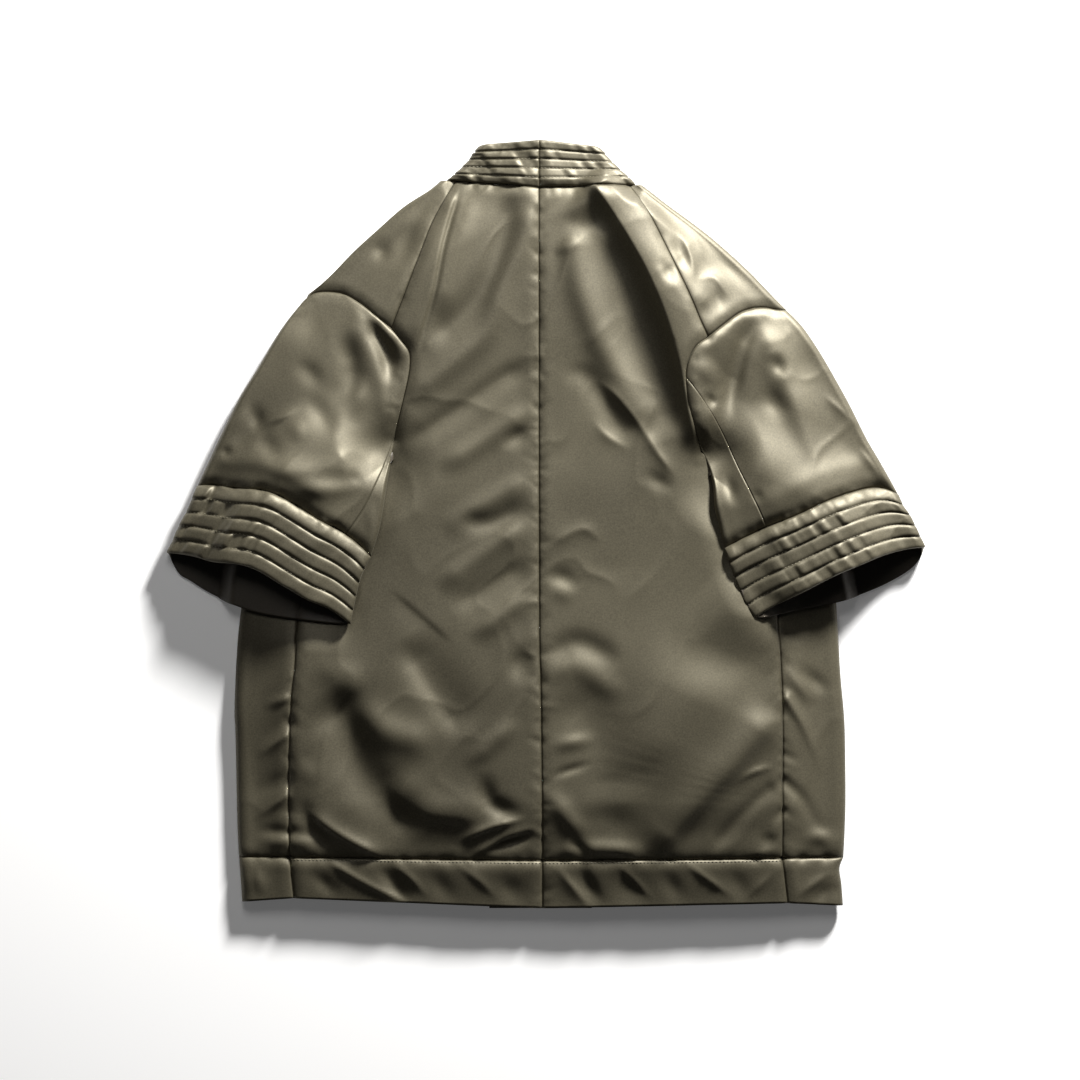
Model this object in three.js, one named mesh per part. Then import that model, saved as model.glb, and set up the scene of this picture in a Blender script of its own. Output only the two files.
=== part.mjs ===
// A padded kimono jacket laid flat on its front, back up. Millimetres, +Z up, resting on z = 0.
// Places are measured on the laying-out table first: millimetres across to the right and down
// from the table's top left corner. ORIGIN is the point there that lies under the jacket's middle.

import * as THREE from "three";

const ORIGIN = { across: 546, down: 524.5 };

// Cloth and laying
const CLOTH = 3;
const SEAM_HALF = 0.2;
const SHOULDER_INSET = 0.05;
const EDGE_HEIGHT = 16;
const EDGE_SPREAD = 62;
const EDGE_FLAT = 5;
const CROWN_FLATNESS = 3;
const CROWN_HALF_WIDTH = 330;

// Rounded folds at the jacket's edges, measured in from the edge
const SHOULDER_FOLD = 14;
const SIDE_FOLD = 20;
const COLLAR_FOLD = 8;
const FOLD_STEPS = 5;
const FOLD_SHARE_OF_NARROW_PANEL = 0.42;

// Sleeves
const SLEEVE_LIFT = 2.5;
const SLEEVE_LOFT = 19;
const SLEEVE_CROWN = 9;
const SLEEVE_SPREAD = 55;
const SLEEVE_FLAT = 6.5;
const SLEEVE_CLIMB = 18;
const SLEEVE_CLIMB_START = 6;
const SLEEVE_DRAPE = 75;
const ARMHOLE_BLEND = 45;

// The back is pressed down under the sleeve: by how much, from how far before the sleeve's inner edge
// and over what spread, and the same for the rows at its top and bottom
const SLEEVE_PRESS = 0.7;
const PRESS_BEFORE = 22;
const PRESS_SPREAD = 50;
const PRESS_TOP_DOWN = 425;
const PRESS_TOP_SPREAD = 40;
const PRESS_PAST_BOTTOM = 30;
const PRESS_BOTTOM_SPREAD = 45;

// Width of the undersleeve on the upper face, at the armhole and at the cuff, and its stations
const UNDERSLEEVES = {
  left: { atArmpit: 16, atCuff: 33, stations: 1 },
  right: { atArmpit: 76, atCuff: 46, stations: 4 },
};

// Quilted bands
const RIB_COUNT = 5;
const RIB_STEPS = 3;
const RIB_RISE = 2.4;
const RIB_ROUNDNESS = 0.6;
const COLLAR_RIB_RISE = 1.8;
const RIB_FADE_AT_FOLD = 0.5;

// Grid steps
const SMOOTHING = 6;
const SHOULDER_ROWS = 8;
const YOKE_STATIONS = 3;
const HOOK_STATIONS = 5;
const BODY_ROWS = 18;
const BACK_COLUMNS = 12;
const SIDE_STATIONS = 3;
const SLEEVE_ROWS = 13;
const COLLAR_STATIONS = 7;
const HEM_ROWS = 3;

const NECK_DOWN = 187;
const HEM_SEAM_DOWN = 861;
const HEM_DOWN = 909;
const HEM_FRONT_DOWN = 908;
const NECKBAND_HEM_DOWN = 910.5;
const LOWEST_FLAT_STRETCH = 4;

const SATIN = { color: 0x6f6a50, roughness: 0.42, metalness: 0 };
const SATIN_SHADE = { color: 0x625d46, roughness: 0.45, metalness: 0 };
const QUILTED = { color: 0x747058, roughness: 0.4, metalness: 0 };

// Height of the back above its edges, down the middle of the jacket
const CROWN = table("down rise", [
  [139, 5],
  [187, 10],
  [300, 14],
  [430, 13],
  [560, 15],
  [700, 20],
  [800, 19],
  [861, 10],
  [911, 4],
]);

const CENTRE_SEAM = [[540, 139], [539, 187], [539, 600], [540.4, 684], [541.5, 768], [542, 861], [542, 911]];

// Outlines and seams of each side, from the neck or shoulder down, or from the outer edge inward
const LEFT = {
  collarFold: [[447, 179.3], [466, 161], [482, 143]],
  collarEnd: [[458, 180.2], [492, 183]],
  shoulderEdge: [[440, 178.8], [428, 189], [402, 206], [376, 229], [352, 251], [330, 274], [312, 291],
    [300, 302]],
  yokeSeam: [[455, 180], [433, 220], [418, 258], [402, 300], [391, 328]],
  armholeTop: [[300, 302], [312, 293], [326, 291], [342, 293], [354, 299], [364, 306], [376, 316],
    [391, 328]],
  armholeHook: [[391, 328], [401, 340], [409, 352], [409, 372], [403, 400], [397, 424], [394, 440]],
  outerSleeve: [[300, 302], [280, 328], [256, 368], [237, 399], [217, 440], [205, 466], [196, 485]],
  innerSleeve: [[394, 440], [391, 460], [386, 492], [380, 528], [371, 557]],
  cuffSeam: [[196, 485], [214, 485], [233, 488], [260, 490], [278, 495], [298, 506], [322, 521],
    [343, 532], [362, 547], [371, 557]],
  cuffOuter: [[196, 485], [187, 508], [177, 527], [171, 541], [165, 552.5]],
  cuffInner: [[371, 557], [361, 578], [354, 608], [351, 624]],
  cuffHemUpper: [[165, 552.5], [193, 556.5], [214, 562], [238, 564], [258, 570], [285, 586], [309, 600],
    [330, 609], [351, 624]],
  cuffHemLower: [[165, 552.5], [176, 573], [188, 581], [209, 594], [241, 608], [270, 615.5],
    [325, 623], [351, 624]],
  bodySeam: [[392, 463], [362, 482], [340, 505], [322, 532], [309, 565], [301, 600], [297, 623],
    [294, 669], [291, 695], [289, 740], [288, 790], [289, 858]],
  bodyEdge: [[371, 463], [336, 469], [300, 489], [262, 528], [244, 570], [240, 606], [236, 642],
    [233, 705], [234, 737], [235, 789], [236, 831], [237.4, 858]],
  hemSeam: [[289, 858], [291, 878], [293, 899]],
  hemEdge: [[237.4, 858], [239.5, 884], [240.5, 903]],
  bandOuter: [[458, 181], [457, 260], [471, 350], [486, 420], [489, 470], [489, 700], [489, 911]],
  bandInner: [[492, 184], [503, 260], [520, 340], [533, 410], [536, 470], [536, 700], [536, 911]],
};

const RIGHT = {
  collarFold: [[636, 183.8], [617, 165], [598, 145]],
  collarEnd: [[627, 184.1], [592, 185.2]],
  shoulderEdge: [[643, 183.5], [668, 203], [690, 219], [712, 236], [735, 256], [754, 274], [774, 295],
    [788, 309]],
  yokeSeam: [[630, 184], [647, 210], [663, 241], [685, 287], [697, 315], [707, 338]],
  armholeTop: [[788, 309], [777, 309], [766, 307], [753, 308], [739, 313], [723, 325], [707, 338]],
  armholeHook: [[707, 338], [696, 346], [689, 358], [685, 374], [687, 400], [694, 426], [702, 452]],
  outerSleeve: [[788, 309], [804, 326], [821, 351], [835, 375], [851, 404], [868, 438], [882, 462],
    [900, 494]],
  innerSleeve: [[702, 452], [709, 470], [713, 487], [714, 507], [719, 528], [724, 548]],
  cuffSeam: [[900, 494], [884, 488], [869, 488], [849, 493], [825, 501.5], [794, 516], [766, 527],
    [743, 538], [724, 548]],
  cuffOuter: [[900, 494], [905, 506], [912, 516], [921, 535], [927, 547]],
  cuffInner: [[724, 548], [732, 572], [743, 600], [755, 618]],
  cuffHemUpper: [[927, 547], [905, 550], [881, 556.5], [857, 566], [833, 576], [802, 592],
    [770, 607.5], [755, 618]],
  cuffHemLower: [[927, 547], [924, 556], [912, 570], [884, 586], [849, 599.5], [821, 606], [794, 611],
    [770, 616.5], [755, 618]],
  bodySeam: [[710, 477], [736, 496], [757, 527], [770, 565], [776, 600], [778, 620], [781, 670],
    [782.5, 721], [782.5, 790], [782.5, 859]],
  bodyEdge: [[731, 477], [762, 485], [800, 508], [825, 548], [836, 590], [839, 624], [842, 675],
    [846, 721], [847, 767], [847, 812], [845, 859]],
  hemSeam: [[782.5, 859], [785, 880], [788, 904]],
  hemEdge: [[845, 859], [841, 870], [843, 886], [844.5, 907]],
  bandOuter: [[627, 184.6], [629, 260], [612, 350], [596, 420], [592, 470], [592, 700], [592, 911]],
  bandInner: [[592, 185.6], [580, 260], [563, 340], [549, 410], [545, 470], [545, 700], [545, 911]],
};

// The largest folds: rise above the cloth, or below it when negative, and half widths on the right
// and left hand of someone who walks the path
const BODY_FOLDS = table("rise right left path", [
  [-11, 34, 16, [[601, 176], [611, 203], [629, 232], [651, 272], [669, 318], [682, 362], [689, 395],
    [695, 432], [706, 468]]],
  [5, 12, 20, [[628, 190], [643, 216], [658, 250], [673, 288], [690, 325]]],
  [6, 26, 12, [[457, 180], [441, 236], [431, 287], [421, 320], [412, 352]]],
  [-5, 12, 14, [[466, 190], [451, 240], [441, 290], [431, 325], [420, 360]]],
  [-3.5, 14, 14, [[513, 189], [501, 236], [492, 276], [459, 314], [424, 345]]],
  [3, 12, 12, [[532, 200], [523, 243], [504, 281], [490, 330], [447, 368], [405, 400]]],
  [-3, 12, 14, [[536, 366], [506, 378], [471, 401], [435, 425], [402, 448]]],
  [4, 12, 14, [[596, 380], [615, 397], [636, 422], [657, 455], [676, 479]]],
  [-4, 12, 12, [[565, 384], [582, 378], [600, 400], [616, 424], [634, 450]]],
  [-5, 12, 22, [[405, 640], [430, 680], [466, 735]]],
  [-7, 14, 14, [[323, 698], [347, 724], [358, 761], [380, 794], [421, 830]]],
  [5, 12, 20, [[388, 777], [419, 806], [486, 816]]],
  [3, 12, 12, [[456, 843], [490, 826], [527, 819]]],
  [-4, 12, 12, [[294, 794], [323, 841], [345, 857]]],
  [4, 12, 12, [[300, 806], [335, 830], [388, 859]]],
  [-6, 12, 12, [[780, 780], [741, 814], [709, 856]]],
  [6, 18, 14, [[778, 711], [741, 753], [698, 799], [652, 852]]],
  [-4, 12, 12, [[785, 782], [802, 799], [818, 825], [841, 838]]],
  [3, 12, 12, [[787, 700], [804, 728], [825, 778]]],
  [-4, 14, 14, [[543, 660], [572, 645], [599, 651], [619, 668]]],
  [3, 12, 14, [[543, 683], [574, 669], [606, 687], [627, 698]]],
  [-5, 14, 22, [[572, 695], [602, 722], [620, 760], [628, 800]]],
]);

const SLEEVE_FOLDS = table("rise right left path", [
  [-7, 12, 12, [[358, 314], [376, 339], [386, 366], [389, 400]]],
  [4, 14, 12, [[340, 306], [355, 327], [368, 360], [376, 400]]],
  [-4, 12, 12, [[253, 408], [262, 432], [278, 462]]],
  [-4, 12, 12, [[300, 368], [318, 392], [330, 430]]],
  [-6, 12, 12, [[208, 477], [240, 478], [275, 484], [308, 500], [338, 518]]],
  [3, 12, 12, [[254, 402], [229, 428], [209, 458]]],
  [-8, 12, 14, [[757, 318], [745, 339], [736, 369], [730, 399], [727, 432]]],
  [5, 14, 18, [[763, 318], [773, 351], [790, 393], [805, 429], [824, 476]]],
  [-4, 12, 12, [[760, 390], [787, 417]]],
  [-3, 12, 12, [[822, 395], [850, 420], [868, 438]]],
  [-5, 12, 12, [[878, 476], [842, 482], [800, 500], [748, 526]]],
]);

const FOLD_END_FADE = 45;

// Rows of named columns
function table(columns, rows) {
  const names = columns.split(" ");
  return rows.map((row) => Object.fromEntries(names.map((name, index) => [name, row[index]])));
}

const clamp = (value) => Math.min(1, Math.max(0, value));
const mix = (a, b, share) => a + (b - a) * share;

function ease(value) {
  const t = clamp(value);
  return t * t * (3 - 2 * t);
}

function lookUp(rows, key, column, value) {
  const next = rows.findIndex((row) => row[key] >= value);
  if (next <= 0) {
    return next === 0 ? rows[0][column] : rows[rows.length - 1][column];
  }
  const [before, after] = [rows[next - 1], rows[next]];
  return mix(before[column], after[column], ease((value - before[key]) / (after[key] - before[key])));
}

function steps(count, from = 0, to = 1) {
  return Array.from({ length: count + 1 }, (_, index) => mix(from, to, index / count));
}

// A smooth line through measured points, kept as short straight runs with their lengths
class Line {
  constructor(points) {
    this.points = points;
    this.lengths = [0];
    for (let i = 1; i < points.length; i += 1) {
      this.lengths.push(this.lengths[i - 1] + points[i].distanceTo(points[i - 1]));
    }
    this.length = this.lengths[points.length - 1];
  }

  static through(list) {
    const curve = new THREE.SplineCurve(list.map(([across, down]) => new THREE.Vector2(across, down)));
    return new Line(curve.getPoints((list.length - 1) * SMOOTHING));
  }

  static join(...lines) {
    return new Line(lines.flatMap((line, index) => (index ? line.points.slice(1) : line.points)));
  }

  at(share) {
    const wanted = clamp(share) * this.length;
    const next = Math.max(1, this.lengths.findIndex((length) => length >= wanted - 1e-9));
    const run = this.lengths[next] - this.lengths[next - 1];
    return this.points[next - 1].clone().lerp(this.points[next], (wanted - this.lengths[next - 1]) / run);
  }

  atDown(down) {
    const found = this.points.findIndex((point) => point.y >= down);
    const next = found < 0 ? this.points.length - 1 : Math.max(1, found);
    const [a, b] = [this.points[next - 1], this.points[next]];
    return new THREE.Vector2(mix(a.x, b.x, (down - a.y) / (b.y - a.y)), down);
  }

  // Distance of a point from the line, and how far along the line its nearest place is
  nearest(point) {
    let best = { distance: Infinity, along: 0, side: 1 };
    for (let i = 1; i < this.points.length; i += 1) {
      const [a, b] = [this.points[i - 1], this.points[i]];
      const run = b.clone().sub(a);
      const offset = point.clone().sub(a);
      const share = clamp(offset.dot(run) / run.lengthSq());
      const distance = offset.distanceTo(run.clone().multiplyScalar(share));
      if (distance < best.distance) {
        const along = this.lengths[i - 1] + share * run.length();
        best = { distance, along, side: Math.sign(run.cross(offset)) };
      }
    }
    return best;
  }
}

const CENTRE = Line.through(CENTRE_SEAM);

function makeSide(paths, undersleeve, inward) {
  const side = { undersleeve, inward };
  for (const [name, list] of Object.entries(paths)) {
    side[name] = Line.through(list);
  }
  side.armhole = Line.join(side.armholeTop, side.armholeHook);
  side.underarm = new Line([side.armholeHook.points.at(-1), side.bodySeam.points[0]]);
  side.panelSeam = Line.join(side.yokeSeam, side.armholeHook, side.underarm, side.bodySeam);
  side.outline = [
    Line.join(new Line([...side.collarFold.points].reverse()), side.shoulderEdge),
    Line.join(side.bodyEdge, side.hemEdge),
  ];
  side.hiddenBody = Line.join(new Line([side.bodySeam.points[0], side.bodyEdge.points[0]]), side.bodyEdge);
  side.sleeveOutline = Line.join(side.outerSleeve, side.cuffOuter);
  side.sleeveInside = Line.join(side.innerSleeve, side.cuffInner);
  side.yokeShare = side.armholeTop.length / side.armhole.length;
  return side;
}

const SIDES = {
  left: makeSide(LEFT, UNDERSLEEVES.left, 1),
  right: makeSide(RIGHT, UNDERSLEEVES.right, -1),
};
const FOLD_LINES = new Map([...BODY_FOLDS, ...SLEEVE_FOLDS].map((fold) => [fold, Line.through(fold.path)]));

function foldsAt(folds, point) {
  return folds.reduce((sum, fold) => {
    const line = FOLD_LINES.get(fold);
    const { distance, along, side } = line.nearest(point);
    const width = side > 0 ? fold.right : fold.left;
    const fade = Math.min(FOLD_END_FADE, line.length / 2);
    const strength = ease(along / fade) * ease((line.length - along) / fade);
    return sum + fold.rise * strength * Math.exp(-((distance / width) ** 2));
  }, 0);
}

const sideOf = (point) => (point.x < CENTRE.atDown(point.y).x ? SIDES.left : SIDES.right);

function distanceToOutline(side, point) {
  return Math.min(...side.outline.map((line) => line.nearest(point).distance));
}

// How far a point lies under the sleeve that is folded down over the back
function underSleeve(side, point) {
  const bottom = side.sleeveInside.points.at(-1).y;
  const inside = side.sleeveInside.atDown(Math.min(point.y, bottom)).x;
  const reach = (inside - point.x) * side.inward;
  const top = ease((point.y - PRESS_TOP_DOWN) / PRESS_TOP_SPREAD);
  const end = ease((bottom + PRESS_PAST_BOTTOM - point.y) / PRESS_BOTTOM_SPREAD);
  return ease((reach + PRESS_BEFORE) / PRESS_SPREAD) * top * end;
}

// Upper face of the body and collar
function bodyTop(point) {
  const side = sideOf(point);
  const across = Math.abs(point.x - ORIGIN.across) / CROWN_HALF_WIDTH;
  const crown = lookUp(CROWN, "down", "rise", point.y) * (1 - clamp(across) ** CROWN_FLATNESS);
  const inside = ease((distanceToOutline(side, point) - EDGE_FLAT) / EDGE_SPREAD);
  const lift = (crown + foldsAt(BODY_FOLDS, point)) * inside;
  return EDGE_HEIGHT + lift * (1 - SLEEVE_PRESS * underSleeve(side, point));
}

// Signed distance outside the body's hidden edge under the sleeve
function outsideBody(side, point) {
  const first = side.hiddenBody.points[0];
  const { distance } = side.hiddenBody.nearest(point);
  const edge = side.bodyEdge.atDown(Math.max(point.y, first.y)).x;
  const inside = point.y > first.y && (point.x - edge) * side.inward > 0;
  return inside ? -distance : distance;
}

// Under face of the sleeve: on the table outside the body, on the back where it crosses it
function sleeveLow(side, point) {
  const outside = outsideBody(side, point);
  const climb = 1 - ease((outside - SLEEVE_CLIMB_START) / SLEEVE_CLIMB);
  return climb > 0 ? (bodyTop(point) + SLEEVE_LIFT) * climb : 0;
}

// Upper face of the sleeve and cuff
function sleeveTop(side, point) {
  const drape = 1 - ease((outsideBody(side, point) - SLEEVE_CLIMB_START) / SLEEVE_DRAPE);
  const edge = Math.min(
    side.sleeveOutline.nearest(point).distance,
    side.sleeveInside.nearest(point).distance,
  );
  const crown = SLEEVE_CROWN * ease((edge - SLEEVE_FLAT) / SLEEVE_SPREAD);
  const support = (EDGE_HEIGHT + SLEEVE_LIFT) * drape;
  const loose = SLEEVE_LOFT + support + crown + foldsAt(SLEEVE_FOLDS, point) * ease(edge / SLEEVE_CLIMB);
  const sewn = bodyTop(point);
  const top = mix(sewn, loose, ease(side.armhole.nearest(point).distance / ARMHOLE_BLEND));
  return Math.max(top, sleeveLow(side, point) + 2 * CLOTH + LOWEST_FLAT_STRETCH);
}

// A patch of the table between four lines: start and end across, outer and inner down
function patch(start, end, outer, inner) {
  const corners = [start(0), start(1), end(0), end(1)];
  return (v, f) => {
    const point = start(f).multiplyScalar(1 - v).add(end(f).multiplyScalar(v));
    point.add(outer(v).multiplyScalar(1 - f)).add(inner(v).multiplyScalar(f));
    point.addScaledVector(corners[0], -(1 - v) * (1 - f)).addScaledVector(corners[1], -(1 - v) * f);
    return point.addScaledVector(corners[2], -v * (1 - f)).addScaledVector(corners[3], -v * f);
  };
}

const between = (a, b) => (share) => a.clone().lerp(b, share);

// Stations across a piece: a fold at the outer end (0) or inner end (1), or flat runs of cloth
function fold(end, from, to) {
  return steps(FOLD_STEPS, from, to).map((turn) => ({ kind: "fold", end, turn: (turn * Math.PI) / 2 }));
}

function run(kind, shares) {
  return shares.map((share) => ({ kind, share }));
}

// Works out the outer and inner point of the wall at one station of one row
function wallPoints(shape, v, station) {
  const width = shape.width(v);
  const radius = Math.min(shape.fold, width * FOLD_SHARE_OF_NARROW_PANEL);
  const rib = shape.rib ? shape.rib(v) : 0;
  const place = (share, layer) => shape.plan(v, share, layer);
  if (station.kind === "fold") {
    const share = (distance) => (station.end ? 1 - distance / width : distance / width);
    const layer = (1 + Math.sin(station.turn)) / 2;
    const top = shape.top(place(share(radius), 1));
    const low = shape.low(place(share(radius), 0));
    const [middle, half] = [(top + low) / 2, (top - low) / 2];
    const swell = rib * ease(layer / RIB_FADE_AT_FOLD - 1);
    const wall = (depth, puff) => {
      const reach = radius - (radius - depth + puff) * Math.cos(station.turn);
      const height = middle + (half - depth + puff) * Math.sin(station.turn);
      return { at: place(share(reach), layer), height };
    };
    return [wall(0, swell), wall(CLOTH, 0)];
  }
  const first = shape.startsAtFold ? radius / width : 0;
  const last = shape.endsAtFold ? 1 - radius / width : 1;
  const split = shape.split ? shape.split(v) : last;
  const ranges = { outer: [first, split], inner: [split, last] };
  const [from, to] = ranges[station.part ?? "outer"];
  const at = place(mix(from, to, station.share), station.kind === "top" ? 1 : 0);
  if (station.kind === "top") {
    const height = shape.top(at);
    return [{ at, height: height + rib }, { at, height: height - CLOTH }];
  }
  const height = shape.low(at);
  return [{ at, height }, { at, height: height + CLOTH }];
}

function toVertex({ at, height }) {
  return [at.x - ORIGIN.across, ORIGIN.down - at.y, height];
}

// One closed wall of cloth: outer and inner grids joined by a rim, or by two where it is a tube
function clothWall(shape) {
  const { rows, stations, tube } = shape;
  const vertices = [];
  for (const layer of [0, 1]) {
    for (const v of rows) {
      for (const station of stations) {
        vertices.push(...toVertex(wallPoints(shape, v, station)[layer]));
      }
    }
  }
  const across = stations.length;
  const index = (layer, row, column) => (layer * rows.length + row) * across + (column % across);
  const faces = [];
  const quad = (a, b, c, d) => faces.push(a, b, c, a, c, d);
  const columns = tube ? across : across - 1;
  for (let row = 0; row < rows.length - 1; row += 1) {
    const cell = (layer, column) => [
      index(layer, row, column),
      index(layer, row, column + 1),
      index(layer, row + 1, column + 1),
      index(layer, row + 1, column),
    ];
    for (let column = 0; column < columns; column += 1) {
      quad(...cell(0, column));
      quad(...cell(1, column).reverse());
    }
    if (!tube) {
      const last = across - 1;
      quad(index(0, row, 0), index(0, row + 1, 0), index(1, row + 1, 0), index(1, row, 0));
      quad(index(0, row, last), index(1, row, last), index(1, row + 1, last), index(0, row + 1, last));
    }
  }
  const end = rows.length - 1;
  for (let column = 0; column < columns; column += 1) {
    quad(index(0, 0, column), index(1, 0, column), index(1, 0, column + 1), index(0, 0, column + 1));
    quad(index(0, end, column), index(0, end, column + 1), index(1, end, column + 1), index(1, end, column));
  }
  return outwardGeometry(vertices, faces);
}

function outwardGeometry(vertices, faces) {
  const corner = (i) => new THREE.Vector3(...vertices.slice(i * 3, i * 3 + 3));
  let volume = 0;
  for (let i = 0; i < faces.length; i += 3) {
    volume += corner(faces[i]).dot(corner(faces[i + 1]).cross(corner(faces[i + 2])));
  }
  const outward = volume > 0 ? faces : [...faces].reverse();
  const geometry = new THREE.BufferGeometry();
  geometry.setAttribute("position", new THREE.Float32BufferAttribute(vertices, 3));
  geometry.setIndex(outward);
  geometry.computeVertexNormals();
  return geometry;
}

const jacket = new THREE.Group();

function addPiece(name, finish, shape) {
  const mesh = new THREE.Mesh(clothWall(shape), new THREE.MeshStandardMaterial(finish));
  mesh.name = name;
  jacket.add(mesh);
}

// Rows drawn in by half a seam at both ends of a piece of the given length
function rowsWithin(values, length) {
  const inset = SEAM_HALF / length;
  return values.map((value) => mix(inset, 1 - inset, value));
}

// A plan whose two sides are drawn in by half a seam
function drawnIn(plan, width) {
  return (v, f, layer) => {
    const inset = SEAM_HALF / width(v);
    return plan(v, mix(inset, 1 - inset, f), layer);
  };
}

// Shares of the armhole at which sleeve, shoulder and body share their corners
function armholeShares(side) {
  const fold = SHOULDER_FOLD / side.armhole.length;
  const split = 1 - side.undersleeve.atArmpit / side.armhole.length;
  return [
    ...steps(YOKE_STATIONS, fold, side.yokeShare),
    ...steps(HOOK_STATIONS, side.yokeShare, split).slice(1),
  ];
}

function panelRows(side) {
  const yoke = steps(SHOULDER_ROWS).map((share) => side.yokeSeam.at(share).y);
  const shares = armholeShares(side).slice(YOKE_STATIONS + 1);
  const underarm = steps(side.undersleeve.stations, shares.at(-1), 1).slice(1);
  const hook = [...shares, ...underarm].map((share) => side.armhole.at(share).y);
  const body = steps(BODY_ROWS, side.bodySeam.points[0].y, side.bodySeam.points.at(-1).y);
  return [...yoke, ...hook, ...body];
}

// Maps a distance down the panel's outer seam to one down its inner seam
function slantedRow(side, down, innerFrom, innerTo) {
  const from = side.yokeSeam.points[0].y;
  const to = side.bodySeam.points.at(-1).y;
  return mix(innerFrom, innerTo, (down - from) / (to - from));
}

function addBack(name, side) {
  const downs = panelRows(side);
  const inset = (down) => Math.min(Math.max(down, downs[0] + SEAM_HALF), downs.at(-1) - SEAM_HALF);
  const outer = (down) => side.panelSeam.atDown(inset(down));
  const inner = (down) => CENTRE.atDown(slantedRow(side, inset(down), NECK_DOWN, HEM_SEAM_DOWN));
  const width = (down) => outer(down).distanceTo(inner(down));
  addPiece(name, SATIN, {
    rows: downs,
    stations: run("top", steps(BACK_COLUMNS)),
    plan: drawnIn((down, f) => outer(down).lerp(inner(down), f), width),
    width,
    top: bodyTop,
    low: () => 0,
    fold: 0,
  });
}

function flatPiece(name, finish, rows, outer, inner) {
  const width = (v) => outer(v).distanceTo(inner(v));
  addPiece(name, finish, {
    rows,
    stations: run("bottom", [0, 1]),
    plan: drawnIn((v, f) => outer(v).lerp(inner(v), f), width),
    width,
    top: () => CLOTH,
    low: () => 0,
    fold: 0,
  });
}

function addFront(name, side) {
  const downs = panelRows(side);
  const bandTop = side.bandOuter.points[0].y;
  const bandSeam = side.bodySeam.points.at(-1).y;
  const inset = (down) => Math.min(Math.max(down, downs[0] + SEAM_HALF), downs.at(-1) - SEAM_HALF);
  const outer = (down) => side.panelSeam.atDown(inset(down));
  const inner = (down) => side.bandOuter.atDown(slantedRow(side, inset(down), bandTop, bandSeam));
  flatPiece(name, SATIN_SHADE, downs, outer, inner);
}

function addNeckband(name, side) {
  const bandTop = side.bandOuter.points[0].y;
  const bandSeam = side.bodySeam.points.at(-1).y;
  const downs = panelRows(side).map((down) => slantedRow(side, down, bandTop, bandSeam));
  downs[0] += SEAM_HALF;
  const innerTop = side.bandInner.points[0].y;
  const slant = (down) => {
    const share = (down - bandTop) / (NECKBAND_HEM_DOWN - bandTop);
    return mix(innerTop, NECKBAND_HEM_DOWN, share);
  };
  const outer = (down) => side.bandOuter.atDown(down);
  const inner = (down) => side.bandInner.atDown(slant(down));
  flatPiece(name, QUILTED, [...downs, NECKBAND_HEM_DOWN], outer, inner);
}

// A piece that lies on the back, turns round the outer edge and ends on the front below
function wrappedStations(flatSteps) {
  return [
    ...run("top", steps(flatSteps)).reverse(),
    ...fold(0, 1, -1).slice(1, -1),
    ...run("bottom", steps(flatSteps)),
  ];
}

function addShoulder(name, side) {
  const plan = patch(
    between(side.shoulderEdge.at(0), side.yokeSeam.at(0)),
    (f) => side.armhole.at(f * side.yokeShare),
    (v) => side.shoulderEdge.at(v),
    (v) => side.yokeSeam.at(v),
  );
  const neckWidth = side.shoulderEdge.at(0).distanceTo(side.yokeSeam.at(0));
  const inset = (f) => f * (1 - SHOULDER_INSET / neckWidth);
  addPiece(name, SATIN, {
    rows: rowsWithin(steps(SHOULDER_ROWS), side.yokeSeam.length),
    stations: wrappedStations(YOKE_STATIONS),
    plan: (v, f) => plan(v, inset(f)),
    width: (v) => mix(neckWidth, side.armholeTop.length, v),
    top: bodyTop,
    low: () => 0,
    fold: SHOULDER_FOLD,
    startsAtFold: true,
  });
}

function addSide(name, side, edge, seam, rows, flatSteps) {
  const width = (v) => edge(v).distanceTo(seam(v));
  addPiece(name, SATIN, {
    rows,
    stations: wrappedStations(flatSteps),
    plan: (v, f) => edge(v).lerp(seam(v), f * (1 - SEAM_HALF / width(v))),
    width,
    top: bodyTop,
    low: () => 0,
    fold: SIDE_FOLD,
    startsAtFold: true,
  });
}

function addSidePanel(name, side) {
  const [first, last] = [side.bodySeam.points[0].y, side.bodySeam.points.at(-1).y];
  const downs = steps(BODY_ROWS, first, last);
  downs[downs.length - 1] -= SEAM_HALF;
  const edge = (down) => side.bodyEdge.atDown(down);
  const seam = (down) => side.bodySeam.atDown(down);
  addSide(name, side, edge, seam, downs, SIDE_STATIONS);
}

function addHem(tag, side) {
  const rows = rowsWithin(steps(HEM_ROWS), side.hemSeam.length);
  const edge = (v) => side.hemEdge.at(v);
  const seam = (v) => side.hemSeam.at(v);
  addSide(`hem_side_${tag}`, side, edge, seam, rows, SIDE_STATIONS);
  const centre = (v) => CENTRE.atDown(mix(HEM_SEAM_DOWN, HEM_DOWN, v));
  const width = (v) => seam(v).distanceTo(centre(v));
  addPiece(`hem_back_${tag}`, SATIN, {
    rows,
    stations: run("top", steps(BACK_COLUMNS)),
    plan: drawnIn((v, f) => seam(v).lerp(centre(v), f), width),
    width,
    top: bodyTop,
    low: () => 0,
    fold: 0,
  });
  const seamDown = side.hemSeam.points[0].y;
  const band = (v) => side.bandOuter.atDown(mix(seamDown, HEM_FRONT_DOWN, v));
  flatPiece(`hem_front_${tag}`, SATIN_SHADE, rows, seam, band);
}

// Sleeve, undersleeve and cuff share one closed ring of stations, cut at the underarm seams
function sleeveWidth(side) {
  return (v) => mix(side.armhole.length, side.cuffSeam.length, v);
}

function undersleeveStart(side, width, v) {
  return 1 - mix(side.undersleeve.atArmpit, side.undersleeve.atCuff, v) / width;
}

function topShares(side) {
  const shares = armholeShares(side);
  const [first, last] = [shares[0], shares.at(-1)];
  return shares.map((share) => (share - first) / (last - first));
}

function part(stations, name) {
  return stations.map((station) => ({ ...station, part: name }));
}

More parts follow.
